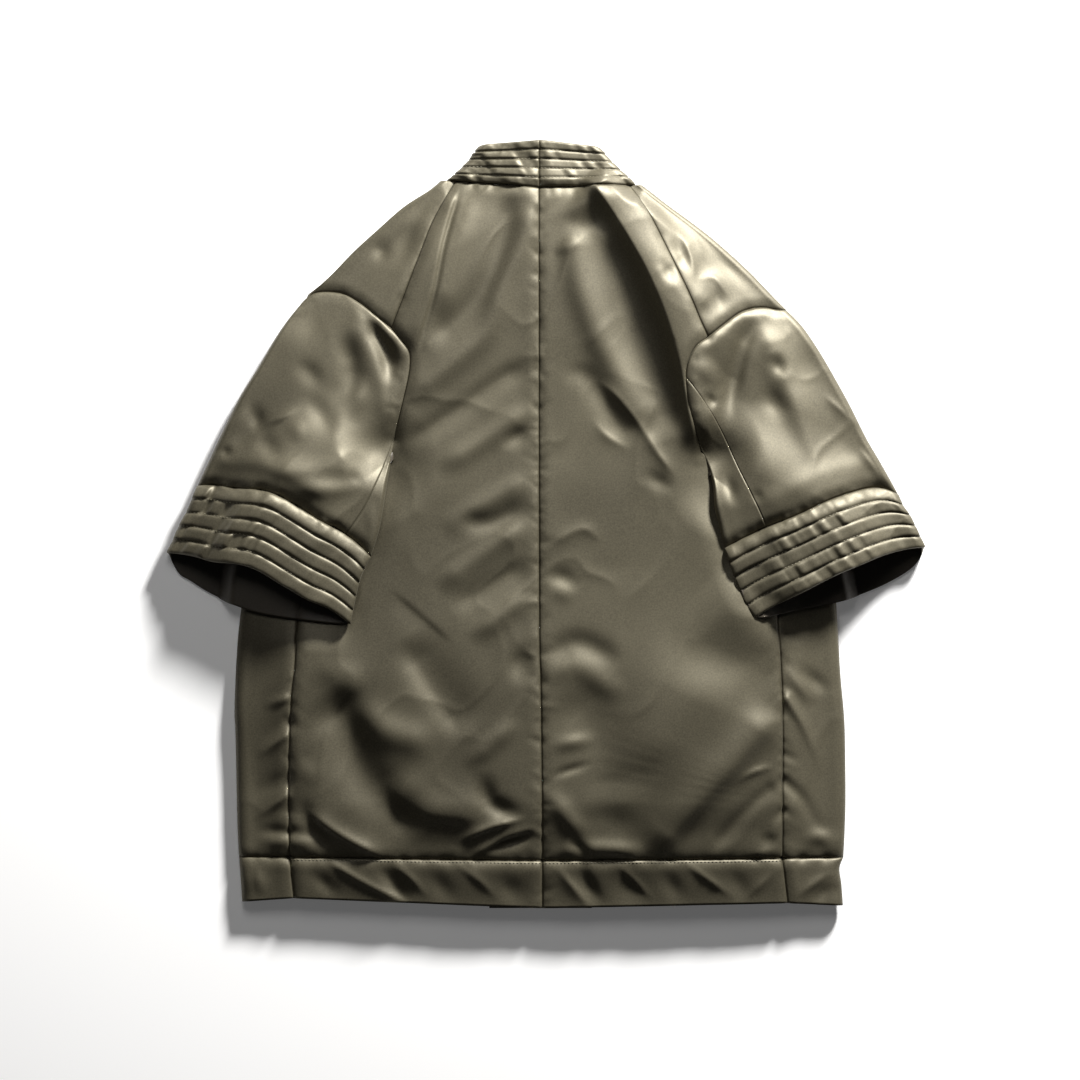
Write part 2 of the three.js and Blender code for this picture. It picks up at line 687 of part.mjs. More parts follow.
function sleeveStations(side) {
  const shares = topShares(side);
  return [
    ...part(run("bottom", shares), "outer").reverse(),
    ...fold(0, -1, 1).slice(1, -1),
    ...part(run("top", shares), "outer"),
  ];
}

function undersleeveStations(side) {
  const shares = steps(side.undersleeve.stations);
  return [
    ...part(run("top", shares), "inner"),
    ...fold(1, 1, -1).slice(1, -1),
    ...part(run("bottom", shares), "inner").reverse(),
  ];
}

function addSleeve(tag, side) {
  const width = sleeveWidth(side);
  const plan = patch(
    (f) => side.armhole.at(f),
    (f) => side.cuffSeam.at(f),
    (v) => side.outerSleeve.at(v),
    (v) => side.innerSleeve.at(v),
  );
  const common = {
    rows: rowsWithin(steps(SLEEVE_ROWS), side.innerSleeve.length),
    width,
    top: (point) => sleeveTop(side, point),
    low: (point) => sleeveLow(side, point),
    fold: SHOULDER_FOLD,
    startsAtFold: true,
    endsAtFold: true,
  };
  const seamShare = (v) => SEAM_HALF / width(v);
  addPiece(`sleeve_${tag}`, SATIN, {
    ...common,
    plan,
    stations: sleeveStations(side),
    split: (v) => undersleeveStart(side, width(v), v) - seamShare(v),
  });
  addPiece(`undersleeve_${tag}`, SATIN_SHADE, {
    ...common,
    plan,
    stations: undersleeveStations(side),
    split: (v) => undersleeveStart(side, width(v), v) + seamShare(v),
  });
}

function ribRise(v, rise) {
  return rise * Math.abs(Math.sin(Math.PI * v * RIB_COUNT)) ** RIB_ROUNDNESS;
}

function addCuff(tag, side) {
  const patches = [side.cuffHemLower, side.cuffHemUpper].map((hem) => patch(
    (f) => side.cuffSeam.at(f),
    (f) => hem.at(f),
    (v) => side.cuffOuter.at(v),
    (v) => side.cuffInner.at(v),
  ));
  const width = (v) => mix(side.cuffSeam.length, side.cuffHemUpper.length, v);
  addPiece(`cuff_${tag}`, QUILTED, {
    rows: rowsWithin(steps(RIB_COUNT * RIB_STEPS), side.cuffOuter.length),
    stations: [...sleeveStations(side), ...undersleeveStations(side).slice(1, -1)],
    plan: (v, f, layer) => patches[0](v, f).lerp(patches[1](v, f), layer),
    width,
    split: (v) => undersleeveStart(side, width(v), 1),
    top: (point) => sleeveTop(side, point),
    low: (point) => sleeveLow(side, point),
    fold: SHOULDER_FOLD,
    rib: (v) => ribRise(v, RIB_RISE),
    startsAtFold: true,
    endsAtFold: true,
    tube: true,
  });
}

// The collar lies on the back of the neck, turns at its slanted fold and ends on the neck line below
function addCollar(name, side) {
  const centre = (v) => CENTRE.atDown(mix(NECK_DOWN, CENTRE_SEAM[0][1], v));
  const edge = (v) => side.collarFold.at(v);
  const width = (v) => edge(v).distanceTo(centre(v));
  const below = (v) => side.collarEnd.at(v);
  const foldShare = (v) => COLLAR_FOLD / width(v);
  addPiece(name, QUILTED, {
    rows: rowsWithin(steps(RIB_COUNT * RIB_STEPS), side.collarFold.length),
    stations: [
      ...run("top", steps(COLLAR_STATIONS)).reverse(),
      ...fold(0, 1, -1).slice(1, -1),
      ...run("bottom", [0, 1]),
    ],
    plan: (v, f, layer) => {
      const above = edge(v).lerp(centre(v), f * (1 - SEAM_HALF / width(v)));
      if (layer > 0 || f <= foldShare(v)) {
        return above;
      }
      const turned = edge(v).lerp(centre(v), foldShare(v));
      return turned.lerp(below(v), (f - foldShare(v)) / (1 - foldShare(v)));
    },
    width,
    top: bodyTop,
    low: () => 0,
    fold: COLLAR_FOLD,
    rib: (v) => ribRise(v, COLLAR_RIB_RISE),
    startsAtFold: true,
  });
}

for (const [tag, side] of Object.entries(SIDES)) {
  addBack(`back_${tag}`, side);
  addShoulder(`shoulder_${tag}`, side);
  addSidePanel(`side_${tag}`, side);
  addFront(`front_${tag}`, side);
  addNeckband(`neckband_${tag}`, side);
  addCollar(`collar_${tag}`, side);
  addSleeve(tag, side);
  addCuff(tag, side);
  addHem(tag, side);
}

export default jacket;
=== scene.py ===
"""A padded satin kimono jacket laid flat, back up, on a pale floor.

Every panel is a grid of cloth bent onto the jacket's laid form. Places are measured on the
laying-out table: millimetres across to the right and down from its top left corner, and
heights in millimetres above it. Table.place turns them into metres in the model's frame.
"""

import logging
import math
from collections.abc import Callable
from dataclasses import dataclass, field
from enum import Enum

import bmesh
import bpy
import numpy as np
from mathutils import Matrix, Vector


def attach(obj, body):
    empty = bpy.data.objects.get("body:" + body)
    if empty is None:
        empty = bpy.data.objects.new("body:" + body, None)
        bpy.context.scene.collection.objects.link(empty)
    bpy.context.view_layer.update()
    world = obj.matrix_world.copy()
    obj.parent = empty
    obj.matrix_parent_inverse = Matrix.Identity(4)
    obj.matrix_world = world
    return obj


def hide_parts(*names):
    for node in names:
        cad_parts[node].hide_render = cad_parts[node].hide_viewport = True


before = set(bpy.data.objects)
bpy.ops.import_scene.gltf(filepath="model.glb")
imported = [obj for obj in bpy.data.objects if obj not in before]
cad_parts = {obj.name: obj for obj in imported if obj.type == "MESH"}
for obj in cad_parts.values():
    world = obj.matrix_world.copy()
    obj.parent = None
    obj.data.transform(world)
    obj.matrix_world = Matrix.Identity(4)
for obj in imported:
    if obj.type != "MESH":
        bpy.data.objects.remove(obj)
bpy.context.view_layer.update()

LOG = logging.getLogger("jacket")

MM = 0.001
Points = np.ndarray
Values = np.ndarray
Track = Callable[[Values], Points]
Measure = Callable[[Values], Values]
Level = Callable[[Points], Values]
Rise = Callable[[Values, Values], Values]
Plan = Callable[[Values, Values, Values], Points]
Marks = tuple[tuple[float, float], ...]
Colour = tuple[float, float, float, float]


class Slot(str, Enum):
    """Material slots that the record names."""

    SATIN = "satin"
    QUILTED = "quilted_satin"


class Fall(Enum):
    """How a fold's height falls away from its line.

    SOFT is rounded and CREST sharp on both hands. LEDGE is sharp on the right hand and rounded on
    the left.
    """

    SOFT = "soft"
    CREST = "crest"
    LEDGE = "ledge"


class Run(Enum):
    """The stretches that a cross-section of cloth is made of."""

    TOP = "top"
    LOW = "low"
    OUTER_FOLD = "outer fold"
    INNER_FOLD = "inner fold"


@dataclass(frozen=True)
class Stretch:
    """A stretch of a cross-section: what it is, where it starts and ends, and its length."""

    kind: Run
    first: float
    last: float
    length: float


Runs = tuple[Stretch, ...]


@dataclass(frozen=True)
class Table:
    """The laying-out table and the point on it that lies under the jacket's middle."""

    across: float = 546.0
    down: float = 524.5

    def place(self, points: Points, heights: Values) -> Points:
        """Turn table places and heights in millimetres into metres in the model's frame.

        Args:
            points: Rows of across and down.
            heights: Height of each point above the table.

        Returns:
            Rows of x, y and z in metres.
        """
        return np.column_stack((points[:, 0] - self.across, self.down - points[:, 1], heights)) * MM


TABLE = Table()

# The cloth, and the places down the table where it is sewn or cut
CLOTH = 3.0
RIB_COUNT = 5
NECK_DOWN = 187.0
HEM_SEAM_DOWN = 861.0
HEM_DOWN = 909.0
NECKBAND_HEM_DOWN = 910.5
TUCKED_UNDER = 5.0

# The laid body's rounded edge and the swell inside it
EDGE_HEIGHT = 16.0
EDGE_START = 5.0
EDGE_SPREAD = 62.0
CROWN_HALF_WIDTH = 330.0
CROWN_FLATNESS = 3.0

# Grids, cross-sections and noise
GRID_STEP = 2.6
HIDDEN_STEP = 9.0
NARROW_SHARE = 0.42
ROUNDING = 1e-9
NOISE_CELLS = 256
ACROSS_TOP = (Stretch(Run.TOP, 0, 1, 1),)
ACROSS_TABLE = (Stretch(Run.LOW, 0, 1, 1),)

# The swell's height at places down the table
CROWN = ((139, 5), (187, 10), (300, 14), (430, 13), (560, 15), (700, 20), (800, 19), (861, 10), (911, 4))

# Seams and edges as measured, each a row of places across and down the table
NECK_SEAM = ((447.0, 179.3), (539.0, 187.0), (636.0, 183.8))
HEM_SEAM = ((237.0, 858.0), (289.0, 858.0), (542.0, 861.0), (782.5, 859.0), (845.0, 859.0))
CENTRE_SEAM = ((540, 139), (539, 187), (539, 600), (540.4, 684), (541.5, 768), (542, 861), (542, 911))

LEFT_LINES = {
    "collar_fold": ((447, 179.3), (455, 172), (466, 161), (475, 151), (482, 143)),
    "collar_end": ((458, 180.2), (492, 183)),
    "shoulder_edge": ((440, 178.8), (428, 189), (402, 206), (376, 229), (352, 251), (330, 274),
                      (312, 291), (300, 302)),
    "yoke_seam": ((455, 180), (433, 220), (418, 258), (402, 300), (391, 328)),
    "armhole_top": ((300, 302), (312, 293), (326, 291), (342, 293), (354, 299), (364, 306), (376, 316),
                    (391, 328)),
    "armhole_hook": ((391, 328), (401, 340), (409, 352), (409, 372), (403, 400), (397, 424), (394, 440)),
    "outer_sleeve": ((300, 302), (280, 328), (256, 368), (237, 399), (217, 440), (205, 466), (196, 485)),
    "inner_sleeve": ((394, 440), (391, 460), (386, 492), (380, 528), (371, 557)),
    "cuff_seam": ((196, 485), (214, 485), (233, 488), (260, 490), (278, 495), (298, 506), (322, 521),
                  (343, 532), (362, 547), (371, 557)),
    "cuff_outer": ((196, 485), (187, 508), (177, 527), (171, 541), (165, 552.5)),
    "cuff_inner": ((371, 557), (361, 578), (354, 608), (351, 624)),
    "cuff_hem_upper": ((165, 552.5), (193, 556.5), (214, 562), (238, 564), (258, 570), (285, 586),
                       (309, 600), (330, 609), (351, 624)),
    "cuff_hem_lower": ((165, 552.5), (176, 573), (188, 581), (209, 594), (241, 608), (270, 615.5),
                       (325, 623), (351, 624)),
    "body_seam": ((387, 463), (362, 482), (340, 505), (322, 532), (309, 565), (301, 600), (297, 623),
                  (294, 669), (291, 695), (289, 740), (288, 790), (289, 858)),
    "body_edge": ((371, 463), (336, 469), (300, 489), (262, 528), (244, 570), (240, 606), (236, 642),
                  (233, 705), (234, 737), (235, 789), (236, 831), (237.4, 858)),
    "hem_seam": ((289, 858), (291, 878), (293, 899)),
    "hem_edge": ((237.4, 858), (239.5, 884), (240.5, 903)),
    "band_outer": ((458, 181), (457, 260), (471, 350), (486, 420), (489, 470), (489, 700), (489, 911)),
    "band_inner": ((492, 184), (503, 260), (520, 340), (533, 410), (536, 470), (536, 700), (536, 911)),
}

RIGHT_LINES = {
    "collar_fold": ((636, 183.8), (627, 174), (617, 165), (606, 153), (598, 145)),
    "collar_end": ((627, 184.1), (592, 185.2)),
    "shoulder_edge": ((643, 183.5), (668, 203), (690, 219), (712, 236), (735, 256), (754, 274),
                      (774, 295), (788, 309)),
    "yoke_seam": ((630, 184), (647, 210), (663, 241), (685, 287), (697, 315), (707, 338)),
    "armhole_top": ((788, 309), (777, 309), (766, 307), (753, 308), (739, 313), (723, 325), (707, 338)),
    "armhole_hook": ((707, 338), (696, 346), (689, 358), (685, 374), (687, 400), (694, 426), (702, 452)),
    "outer_sleeve": ((788, 309), (804, 326), (821, 351), (835, 375), (851, 404), (868, 438), (882, 462),
                     (900, 494)),
    "inner_sleeve": ((702, 452), (709, 470), (713, 487), (714, 507), (719, 528), (724, 548)),
    "cuff_seam": ((900, 494), (884, 488), (869, 488), (849, 493), (825, 501.5), (794, 516), (766, 527),
                  (743, 538), (724, 548)),
    "cuff_outer": ((900, 494), (905, 506), (912, 516), (921, 535), (927, 547)),
    "cuff_inner": ((724, 548), (732, 572), (743, 600), (755, 618)),
    "cuff_hem_upper": ((927, 547), (905, 550), (881, 556.5), (857, 566), (833, 576), (802, 592),
                       (770, 607.5), (755, 618)),
    "cuff_hem_lower": ((927, 547), (924, 556), (912, 570), (884, 586), (849, 599.5), (821, 606),
                       (794, 611), (770, 616.5), (755, 618)),
    "body_seam": ((715, 478), (736, 496), (757, 527), (770, 565), (776, 600), (778, 620), (781, 670),
                  (782.5, 721), (782.5, 790), (782.5, 859)),
    "body_edge": ((731, 477), (762, 485), (800, 508), (825, 548), (836, 590), (839, 624), (842, 675),
                  (846, 721), (847, 767), (847, 812), (845, 859)),
    "hem_seam": ((782.5, 859), (785, 880), (788, 904)),
    "hem_edge": ((845, 859), (841, 870), (843, 886), (844.5, 907)),
    "band_outer": ((627, 184.6), (629, 260), (612, 350), (596, 420), (592, 470), (592, 700), (592, 911)),
    "band_inner": ((592, 185.6), (580, 260), (563, 340), (549, 410), (545, 470), (545, 700), (545, 911)),
}


@dataclass(frozen=True)
class Fold:
    """One fold pressed into the cloth.

    Its half widths are those on the right and left hand of someone who walks the path, seen from
    above. A rooted fold is at full strength where its path starts, and dies out at the other end.
    """

    rise: float
    right: float
    left: float
    path: Marks
    fall: Fall = Fall.SOFT
    rooted: bool = False
    grows_over: float = 30.0
    dies_over: float = 30.0


# Folds, panel by panel, each with its rise, its half widths and its path
UPPER_BACK_FOLDS = (
    Fold(19, 34, 58, ((586, 172), (594, 184), (607, 202), (626, 232), (648, 272), (667, 318), (680, 362),
                      (687, 395), (694, 432), (704, 468)), Fall.LEDGE, grows_over=20, dies_over=60),
    Fold(6, 46, 24, ((684, 420), (704, 480), (722, 540), (742, 600), (758, 664)),
         grows_over=60, dies_over=60),
    Fold(-6, 28, 22, ((590, 200), (600, 232), (620, 276), (641, 320), (656, 364), (664, 400), (676, 440)),
         grows_over=26),
    Fold(-3, 6, 7, ((660, 258), (668, 272), (672, 290))),
    Fold(3.4, 24, 9, ((457, 178), (441, 236), (431, 287), (421, 320), (412, 354))),
    Fold(-2.4, 2.4, 3.6, ((461, 184), (445, 240), (435, 290), (425, 325), (416, 356))),
    Fold(3, 12, 12, ((474, 188), (462, 231), (450, 271), (438, 319))),
    Fold(-4.5, 13, 13, ((514, 187), (502, 236), (490, 276), (460, 316), (424, 345))),
    Fold(3.5, 12, 12, ((532, 196), (523, 243), (504, 281), (488, 330), (447, 368), (405, 402))),
    Fold(-3, 9, 12, ((536, 364), (506, 376), (471, 401), (435, 425), (402, 448))),
    Fold(3, 10, 11, ((534, 402), (502, 428), (470, 450), (436, 470))),
    Fold(-3, 7, 9, ((536, 424), (520, 434), (500, 448))),
    Fold(3, 7, 10, ((593, 190), (578, 208), (570, 226)), rooted=True),
    Fold(-3, 8, 9, ((580, 190), (560, 206), (551, 222)), rooted=True),
    Fold(2, 6, 6, ((578, 236), (565, 248), (552, 254))),
    Fold(5, 14, 16, ((574, 218), (578, 276), (592, 322), (606, 352), (628, 392), (657, 432))),
    Fold(-2.4, 12, 10, ((560, 382), (582, 374), (599, 394), (614, 420), (632, 448))),
    Fold(2.6, 9, 9, ((594, 378), (615, 395), (636, 420), (657, 453), (679, 482)), Fall.CREST),
    Fold(1.8, 8, 7, ((590, 416), (606, 436), (633, 452)), Fall.CREST),
    Fold(-2, 8, 7, ((640, 470), (656, 480), (678, 492))),
)

LOWER_BACK_FOLDS = (
    Fold(3, 10, 12, ((536, 474), (500, 495), (440, 532))),
    Fold(-3, 10, 10, ((534, 500), (490, 522), (446, 516))),
    Fold(3.5, 10, 12, ((534, 520), (491, 548), (435, 590))),
    Fold(-3, 10, 12, ((536, 562), (495, 582), (450, 612))),
    Fold(3.5, 9, 11, ((537, 590), (505, 612), (468, 642))),
    Fold(-1.2, 14, 2.5, ((386, 588), (420, 617), (455, 648))),
    Fold(-5, 14, 26, ((404, 636), (430, 680), (468, 738))),
    Fold(-3.5, 9, 14, ((536, 640), (520, 664), (524, 690))),
    Fold(1.8, 9, 9, ((541, 551), (582, 529), (604, 546)), Fall.CREST),
    Fold(-2.2, 9, 8, ((541, 577), (562, 577), (582, 590))),
    Fold(1.5, 9, 9, ((542, 588), (562, 592), (580, 600))),
    Fold(-3.2, 11, 11, ((541, 664), (572, 643), (600, 651), (622, 671))),
    Fold(2.2, 12, 11, ((542, 686), (574, 667), (606, 685), (630, 700))),
    Fold(-4, 26, 34, ((560, 690), (588, 716), (604, 752), (616, 806))),
    Fold(10, 52, 60, ((726, 650), (694, 716), (672, 770), (664, 830)), grows_over=60, dies_over=90),
    Fold(6, 55, 55, ((716, 566), (756, 600), (800, 612)), grows_over=40, dies_over=40),
    Fold(1.2, 16, 12, ((556, 846), (610, 848), (690, 847), (774, 845)), grows_over=20, dies_over=20),
    Fold(1.6, 9, 14, ((296, 847), (330, 848), (392, 850)), grows_over=14),
    Fold(-2.2, 16, 18, ((580, 806), (610, 818), (642, 834))),
    Fold(2.5, 7, 7, ((546, 748), (572, 742), (600, 738))),
    Fold(-2, 4, 4, ((545, 779), (568, 770), (596, 761))),
    Fold(3.5, 9, 10, ((547, 786), (566, 816), (594, 845))),
    Fold(2.6, 14, 16, ((316, 655), (340, 677), (374, 687))),
    Fold(4.5, 16, 16, ((352, 696), (384, 730), (440, 744))),
    Fold(-8, 24, 22, ((321, 692), (346, 724), (358, 761), (380, 794), (424, 833))),
    Fold(4.5, 12, 22, ((386, 774), (418, 806), (490, 817))),
    Fold(3, 9, 9, ((520, 716), (486, 749), (462, 768))),
    Fold(-5, 9, 10, ((484, 768), (490, 802), (528, 817))),
    Fold(4.5, 6, 8, ((454, 844), (490, 827), (530, 817)), Fall.CREST),
    Fold(4, 6, 8, ((468, 858), (500, 840), (540, 825)), Fall.CREST),
    Fold(-4, 6, 6, ((480, 853), (510, 841), (541, 833))),
    Fold(1.6, 11, 11, ((300, 756), (306, 772), (320, 786))),
    Fold(5, 8, 12, ((303, 806), (335, 831), (390, 861)), Fall.CREST),
    Fold(-3, 11, 10, ((292, 790), (320, 838), (346, 858))),
    Fold(6.5, 20, 12, ((778, 709), (741, 753), (698, 799), (650, 856))),
    Fold(-2.2, 7, 7, ((779, 781), (741, 815), (707, 858)), grows_over=14),
    Fold(2.5, 5, 5, ((777, 765), (752, 772), (734, 784)), Fall.CREST),
    Fold(-1.4, 5, 5, ((780, 813), (768, 825)), rooted=True),
    Fold(-1.4, 6, 7, ((780, 838), (757, 842))),
    Fold(1.6, 7, 7, ((779, 848), (762, 853), (742, 858)), Fall.CREST),
    Fold(3, 7, 8, ((550, 852), (596, 848), (648, 853))),
    Fold(-4, 7, 6, ((566, 840), (580, 848), (593, 857))),
)

SIDE_PANEL_FOLDS = (
    Fold(3, 7, 6, ((286, 736), (270, 748), (253, 761)), Fall.CREST, True),
    Fold(-2.2, 8, 7, ((287, 722), (270, 738), (254, 746)), rooted=True),
    Fold(3, 8, 6, ((287, 796), (268, 810), (247, 823)), Fall.CREST, True),
    Fold(-2.4, 9, 8, ((287, 780), (266, 790), (246, 800)), rooted=True),
    Fold(2.5, 5, 5, ((286, 699), (270, 705), (262, 712)), rooted=True),
    Fold(2, 6, 7, ((252, 843), (286, 842), (326, 844))),
    Fold(-2, 6, 6, ((250, 833), (284, 832), (320, 836))),
    Fold(3, 6, 8, ((785, 664), (798, 684), (814, 708))),
    Fold(-2, 8, 7, ((795, 664), (814, 680), (836, 696))),
    Fold(4, 6, 8, ((786, 698), (804, 728), (826, 780)), Fall.CREST, True),
    Fold(-1.8, 5, 5, ((784, 754), (803, 765)), rooted=True),
    Fold(-2.8, 6, 6, ((784, 781), (802, 799), (818, 825), (843, 839)), rooted=True),
    Fold(-1.6, 5, 5, ((784, 811), (798, 826)), rooted=True),
    Fold(3, 8, 8, ((800, 846), (820, 838), (842, 850))),
)

HEM_FOLDS = (
    Fold(2.8, 5, 6, ((322, 858), (366, 884), (414, 908)), Fall.CREST),
    Fold(-2.8, 7, 9, ((372, 858), (392, 882), (414, 912))),
    Fold(-2.1, 8, 8, ((304, 868), (324, 884), (344, 902))),
    Fold(2.1, 4, 6, ((388, 860), (412, 880), (430, 902)), Fall.CREST),
    Fold(-2.1, 10, 10, ((424, 866), (442, 888), (456, 910))),
    Fold(1.8, 4, 7, ((452, 862), (480, 882), (500, 904)), Fall.CREST),
    Fold(-2.1, 10, 12, ((492, 870), (510, 890), (524, 910))),
    Fold(2.1, 8, 8, ((246, 866), (256, 880), (260, 900))),
    Fold(-3.1, 9, 7, ((574, 860), (588, 884), (604, 912))),
    Fold(2.4, 9, 5, ((552, 862), (572, 886), (594, 914)), Fall.CREST),
    Fold(-2.8, 14, 16, ((610, 866), (628, 886), (646, 910))),
    Fold(1.8, 4, 6, ((612, 860), (634, 880), (656, 904)), Fall.CREST),
    Fold(-2.1, 9, 9, ((660, 866), (672, 886), (684, 908))),
    Fold(2.1, 5, 6, ((680, 860), (706, 878), (736, 900)), Fall.CREST),
    Fold(-2.1, 10, 10, ((724, 864), (738, 884), (752, 906))),
    Fold(1.8, 6, 5, ((742, 904), (762, 884), (780, 866)), Fall.CREST),
    Fold(2.4, 7, 6, ((842, 866), (816, 884), (792, 902)), Fall.CREST),
    Fold(-2.1, 6, 8, ((846, 880), (828, 892), (812, 906))),
)

SHOULDER_FOLDS = (
    Fold(-2.5, 8, 9, ((366, 234), (378, 246), (388, 266))),
    Fold(1.8, 6, 6, ((368, 246), (348, 262), (326, 278)), Fall.CREST),
    Fold(2.5, 8, 8, ((424, 200), (402, 222), (386, 242))),
    Fold(-2.5, 12, 12, ((418, 216), (408, 244), (396, 274))),
    Fold(-2.6, 7, 8, ((672, 234), (681, 256), (691, 278))),
    Fold(2.6, 6, 7, ((677, 228), (690, 256), (695, 286)), Fall.CREST),
    Fold(2.4, 6, 7, ((692, 284), (714, 278), (732, 304)), Fall.CREST),
    Fold(-2.6, 7, 7, ((704, 284), (717, 300), (722, 320))),
    Fold(2, 7, 7, ((662, 212), (690, 228), (706, 256)), Fall.CREST),
    Fold(-2, 9, 9, ((712, 250), (734, 268), (752, 288))),
    Fold(-2.6, 9, 9, ((699, 294), (704, 312), (708, 330))),
)

SLEEVE_FOLDS = (
    Fold(-6, 9, 9, ((358, 312), (376, 337), (388, 362), (391, 388))),
    Fold(4, 16, 8, ((350, 306), (363, 327), (375, 354), (379, 382), (381, 412), (380, 436)), dies_over=70),
    Fold(4, 8, 7, ((366, 308), (388, 326), (404, 346), (404, 368))),
    Fold(-3.5, 10, 10, ((342, 330), (351, 366), (350, 400))),
    Fold(3, 9, 9, ((362, 372), (360, 398), (352, 424))),
    Fold(-2.2, 9, 9, ((290, 360), (311, 374), (322, 396))),
    Fold(-2.6, 10, 10, ((300, 392), (320, 412), (336, 442))),
    Fold(-2.4, 7, 8, ((249, 400), (256, 418), (264, 440))),
    Fold(-3, 9, 10, ((256, 430), (270, 448), (286, 466))),
    Fold(3, 5, 6, ((264, 426), (282, 418), (302, 407)), Fall.CREST),
    Fold(2, 9, 9, ((288, 416), (298, 430), (306, 446))),
    Fold(4, 8, 9, ((252, 402), (229, 428), (209, 458)), Fall.CREST),
    Fold(-3, 5, 5, ((218, 446), (226, 453), (232, 460))),
    Fold(4, 12, 16, ((200, 462), (228, 460), (262, 462), (300, 478), (340, 505))),
    Fold(1.8, 9, 10, ((264, 475), (311, 469), (366, 466))),
    Fold(1.8, 7, 9, ((284, 486), (330, 491), (366, 485))),
    Fold(0.8, 4, 5, ((337, 448), (342, 457), (349, 467)), Fall.CREST),
    Fold(-1, 6, 6, ((346, 474), (358, 480), (366, 480))),
    Fold(3, 5, 6, ((376, 500), (372, 524), (370, 544)), Fall.CREST),
    Fold(-8, 13, 10, ((757, 316), (745, 339), (736, 369), (730, 399), (726, 434)), dies_over=60),
    Fold(2, 9, 9, ((762, 322), (751, 351), (743, 390), (732, 429)), dies_over=70),
    Fold(4.5, 12, 18, ((763, 316), (773, 351), (790, 393), (805, 429), (826, 482)), dies_over=80),
    Fold(-4, 7, 7, ((772, 352), (778, 366), (784, 380))),
    Fold(-2.5, 10, 10, ((758, 388), (774, 402), (790, 420))),
    Fold(2, 6, 7, ((820, 392), (848, 416), (868, 438)), Fall.CREST),
    Fold(-3, 6, 6, ((846, 402), (862, 424), (876, 446))),
    Fold(3, 6, 6, ((858, 446), (872, 464), (884, 482)), Fall.CREST),
    Fold(4, 10, 10, ((694, 357), (708, 374), (722, 387))),
    Fold(-3, 5, 5, ((702, 394), (710, 401), (718, 408))),
    Fold(2, 12, 14, ((880, 468), (838, 470), (796, 488), (752, 512))),
    Fold(-1.2, 6, 6, ((748, 499), (756, 497), (764, 494))),
    Fold(-3, 6, 7, ((726, 470), (730, 490), (734, 510))),
)


def ease(values: Values) -> Values:
    """Smooth step from 0 to 1 over the unit interval."""
    t = np.clip(values, 0.0, 1.0)
    return t * t * (3.0 - 2.0 * t)


def mix(a: Values, b: Values, share: Values) -> Values:
    """Blend from a to b."""
    return a + (b - a) * share


def eased_table(rows: Marks, values: Values) -> Values:
    """Look heights up in a table of keys and heights, easing between its rows.

    Args:
        rows: Pairs of key and height, keys rising.
        values: Keys to look up.

    Returns:
        The looked-up heights.
    """
    keys, heights = np.array(rows, float).T
    held = np.clip(values, keys[0], keys[-1])
    index = np.clip(np.searchsorted(keys, held), 1, len(keys) - 1)
    share = (held - keys[index - 1]) / (keys[index] - keys[index - 1])
    return mix(heights[index - 1], heights[index], ease(share))


def soft_noise(points: Points, scale: float, seed: int) -> Values:
    """Smooth lumps between -1 and 1.

    Args:
        points: Places on the table, in millimetres.
        scale: Size of a lump, in millimetres.
        seed: Picks the pattern.

    Returns:
        One value for each point.
    """
    cells = np.random.default_rng(seed).uniform(-1.0, 1.0, (NOISE_CELLS, NOISE_CELLS))
    spot = points / scale
    corner = np.floor(spot).astype(int)
    share = spot - corner
    fade = share ** 3 * (share * (share * 6 - 15) + 10)
    column, row = corner.T % NOISE_CELLS
    right, below = (corner.T + 1) % NOISE_CELLS
    top = mix(cells[row, column], cells[row, right], fade[:, 0])
    bottom = mix(cells[below, column], cells[below, right], fade[:, 0])
    return mix(top, bottom, fade[:, 1])


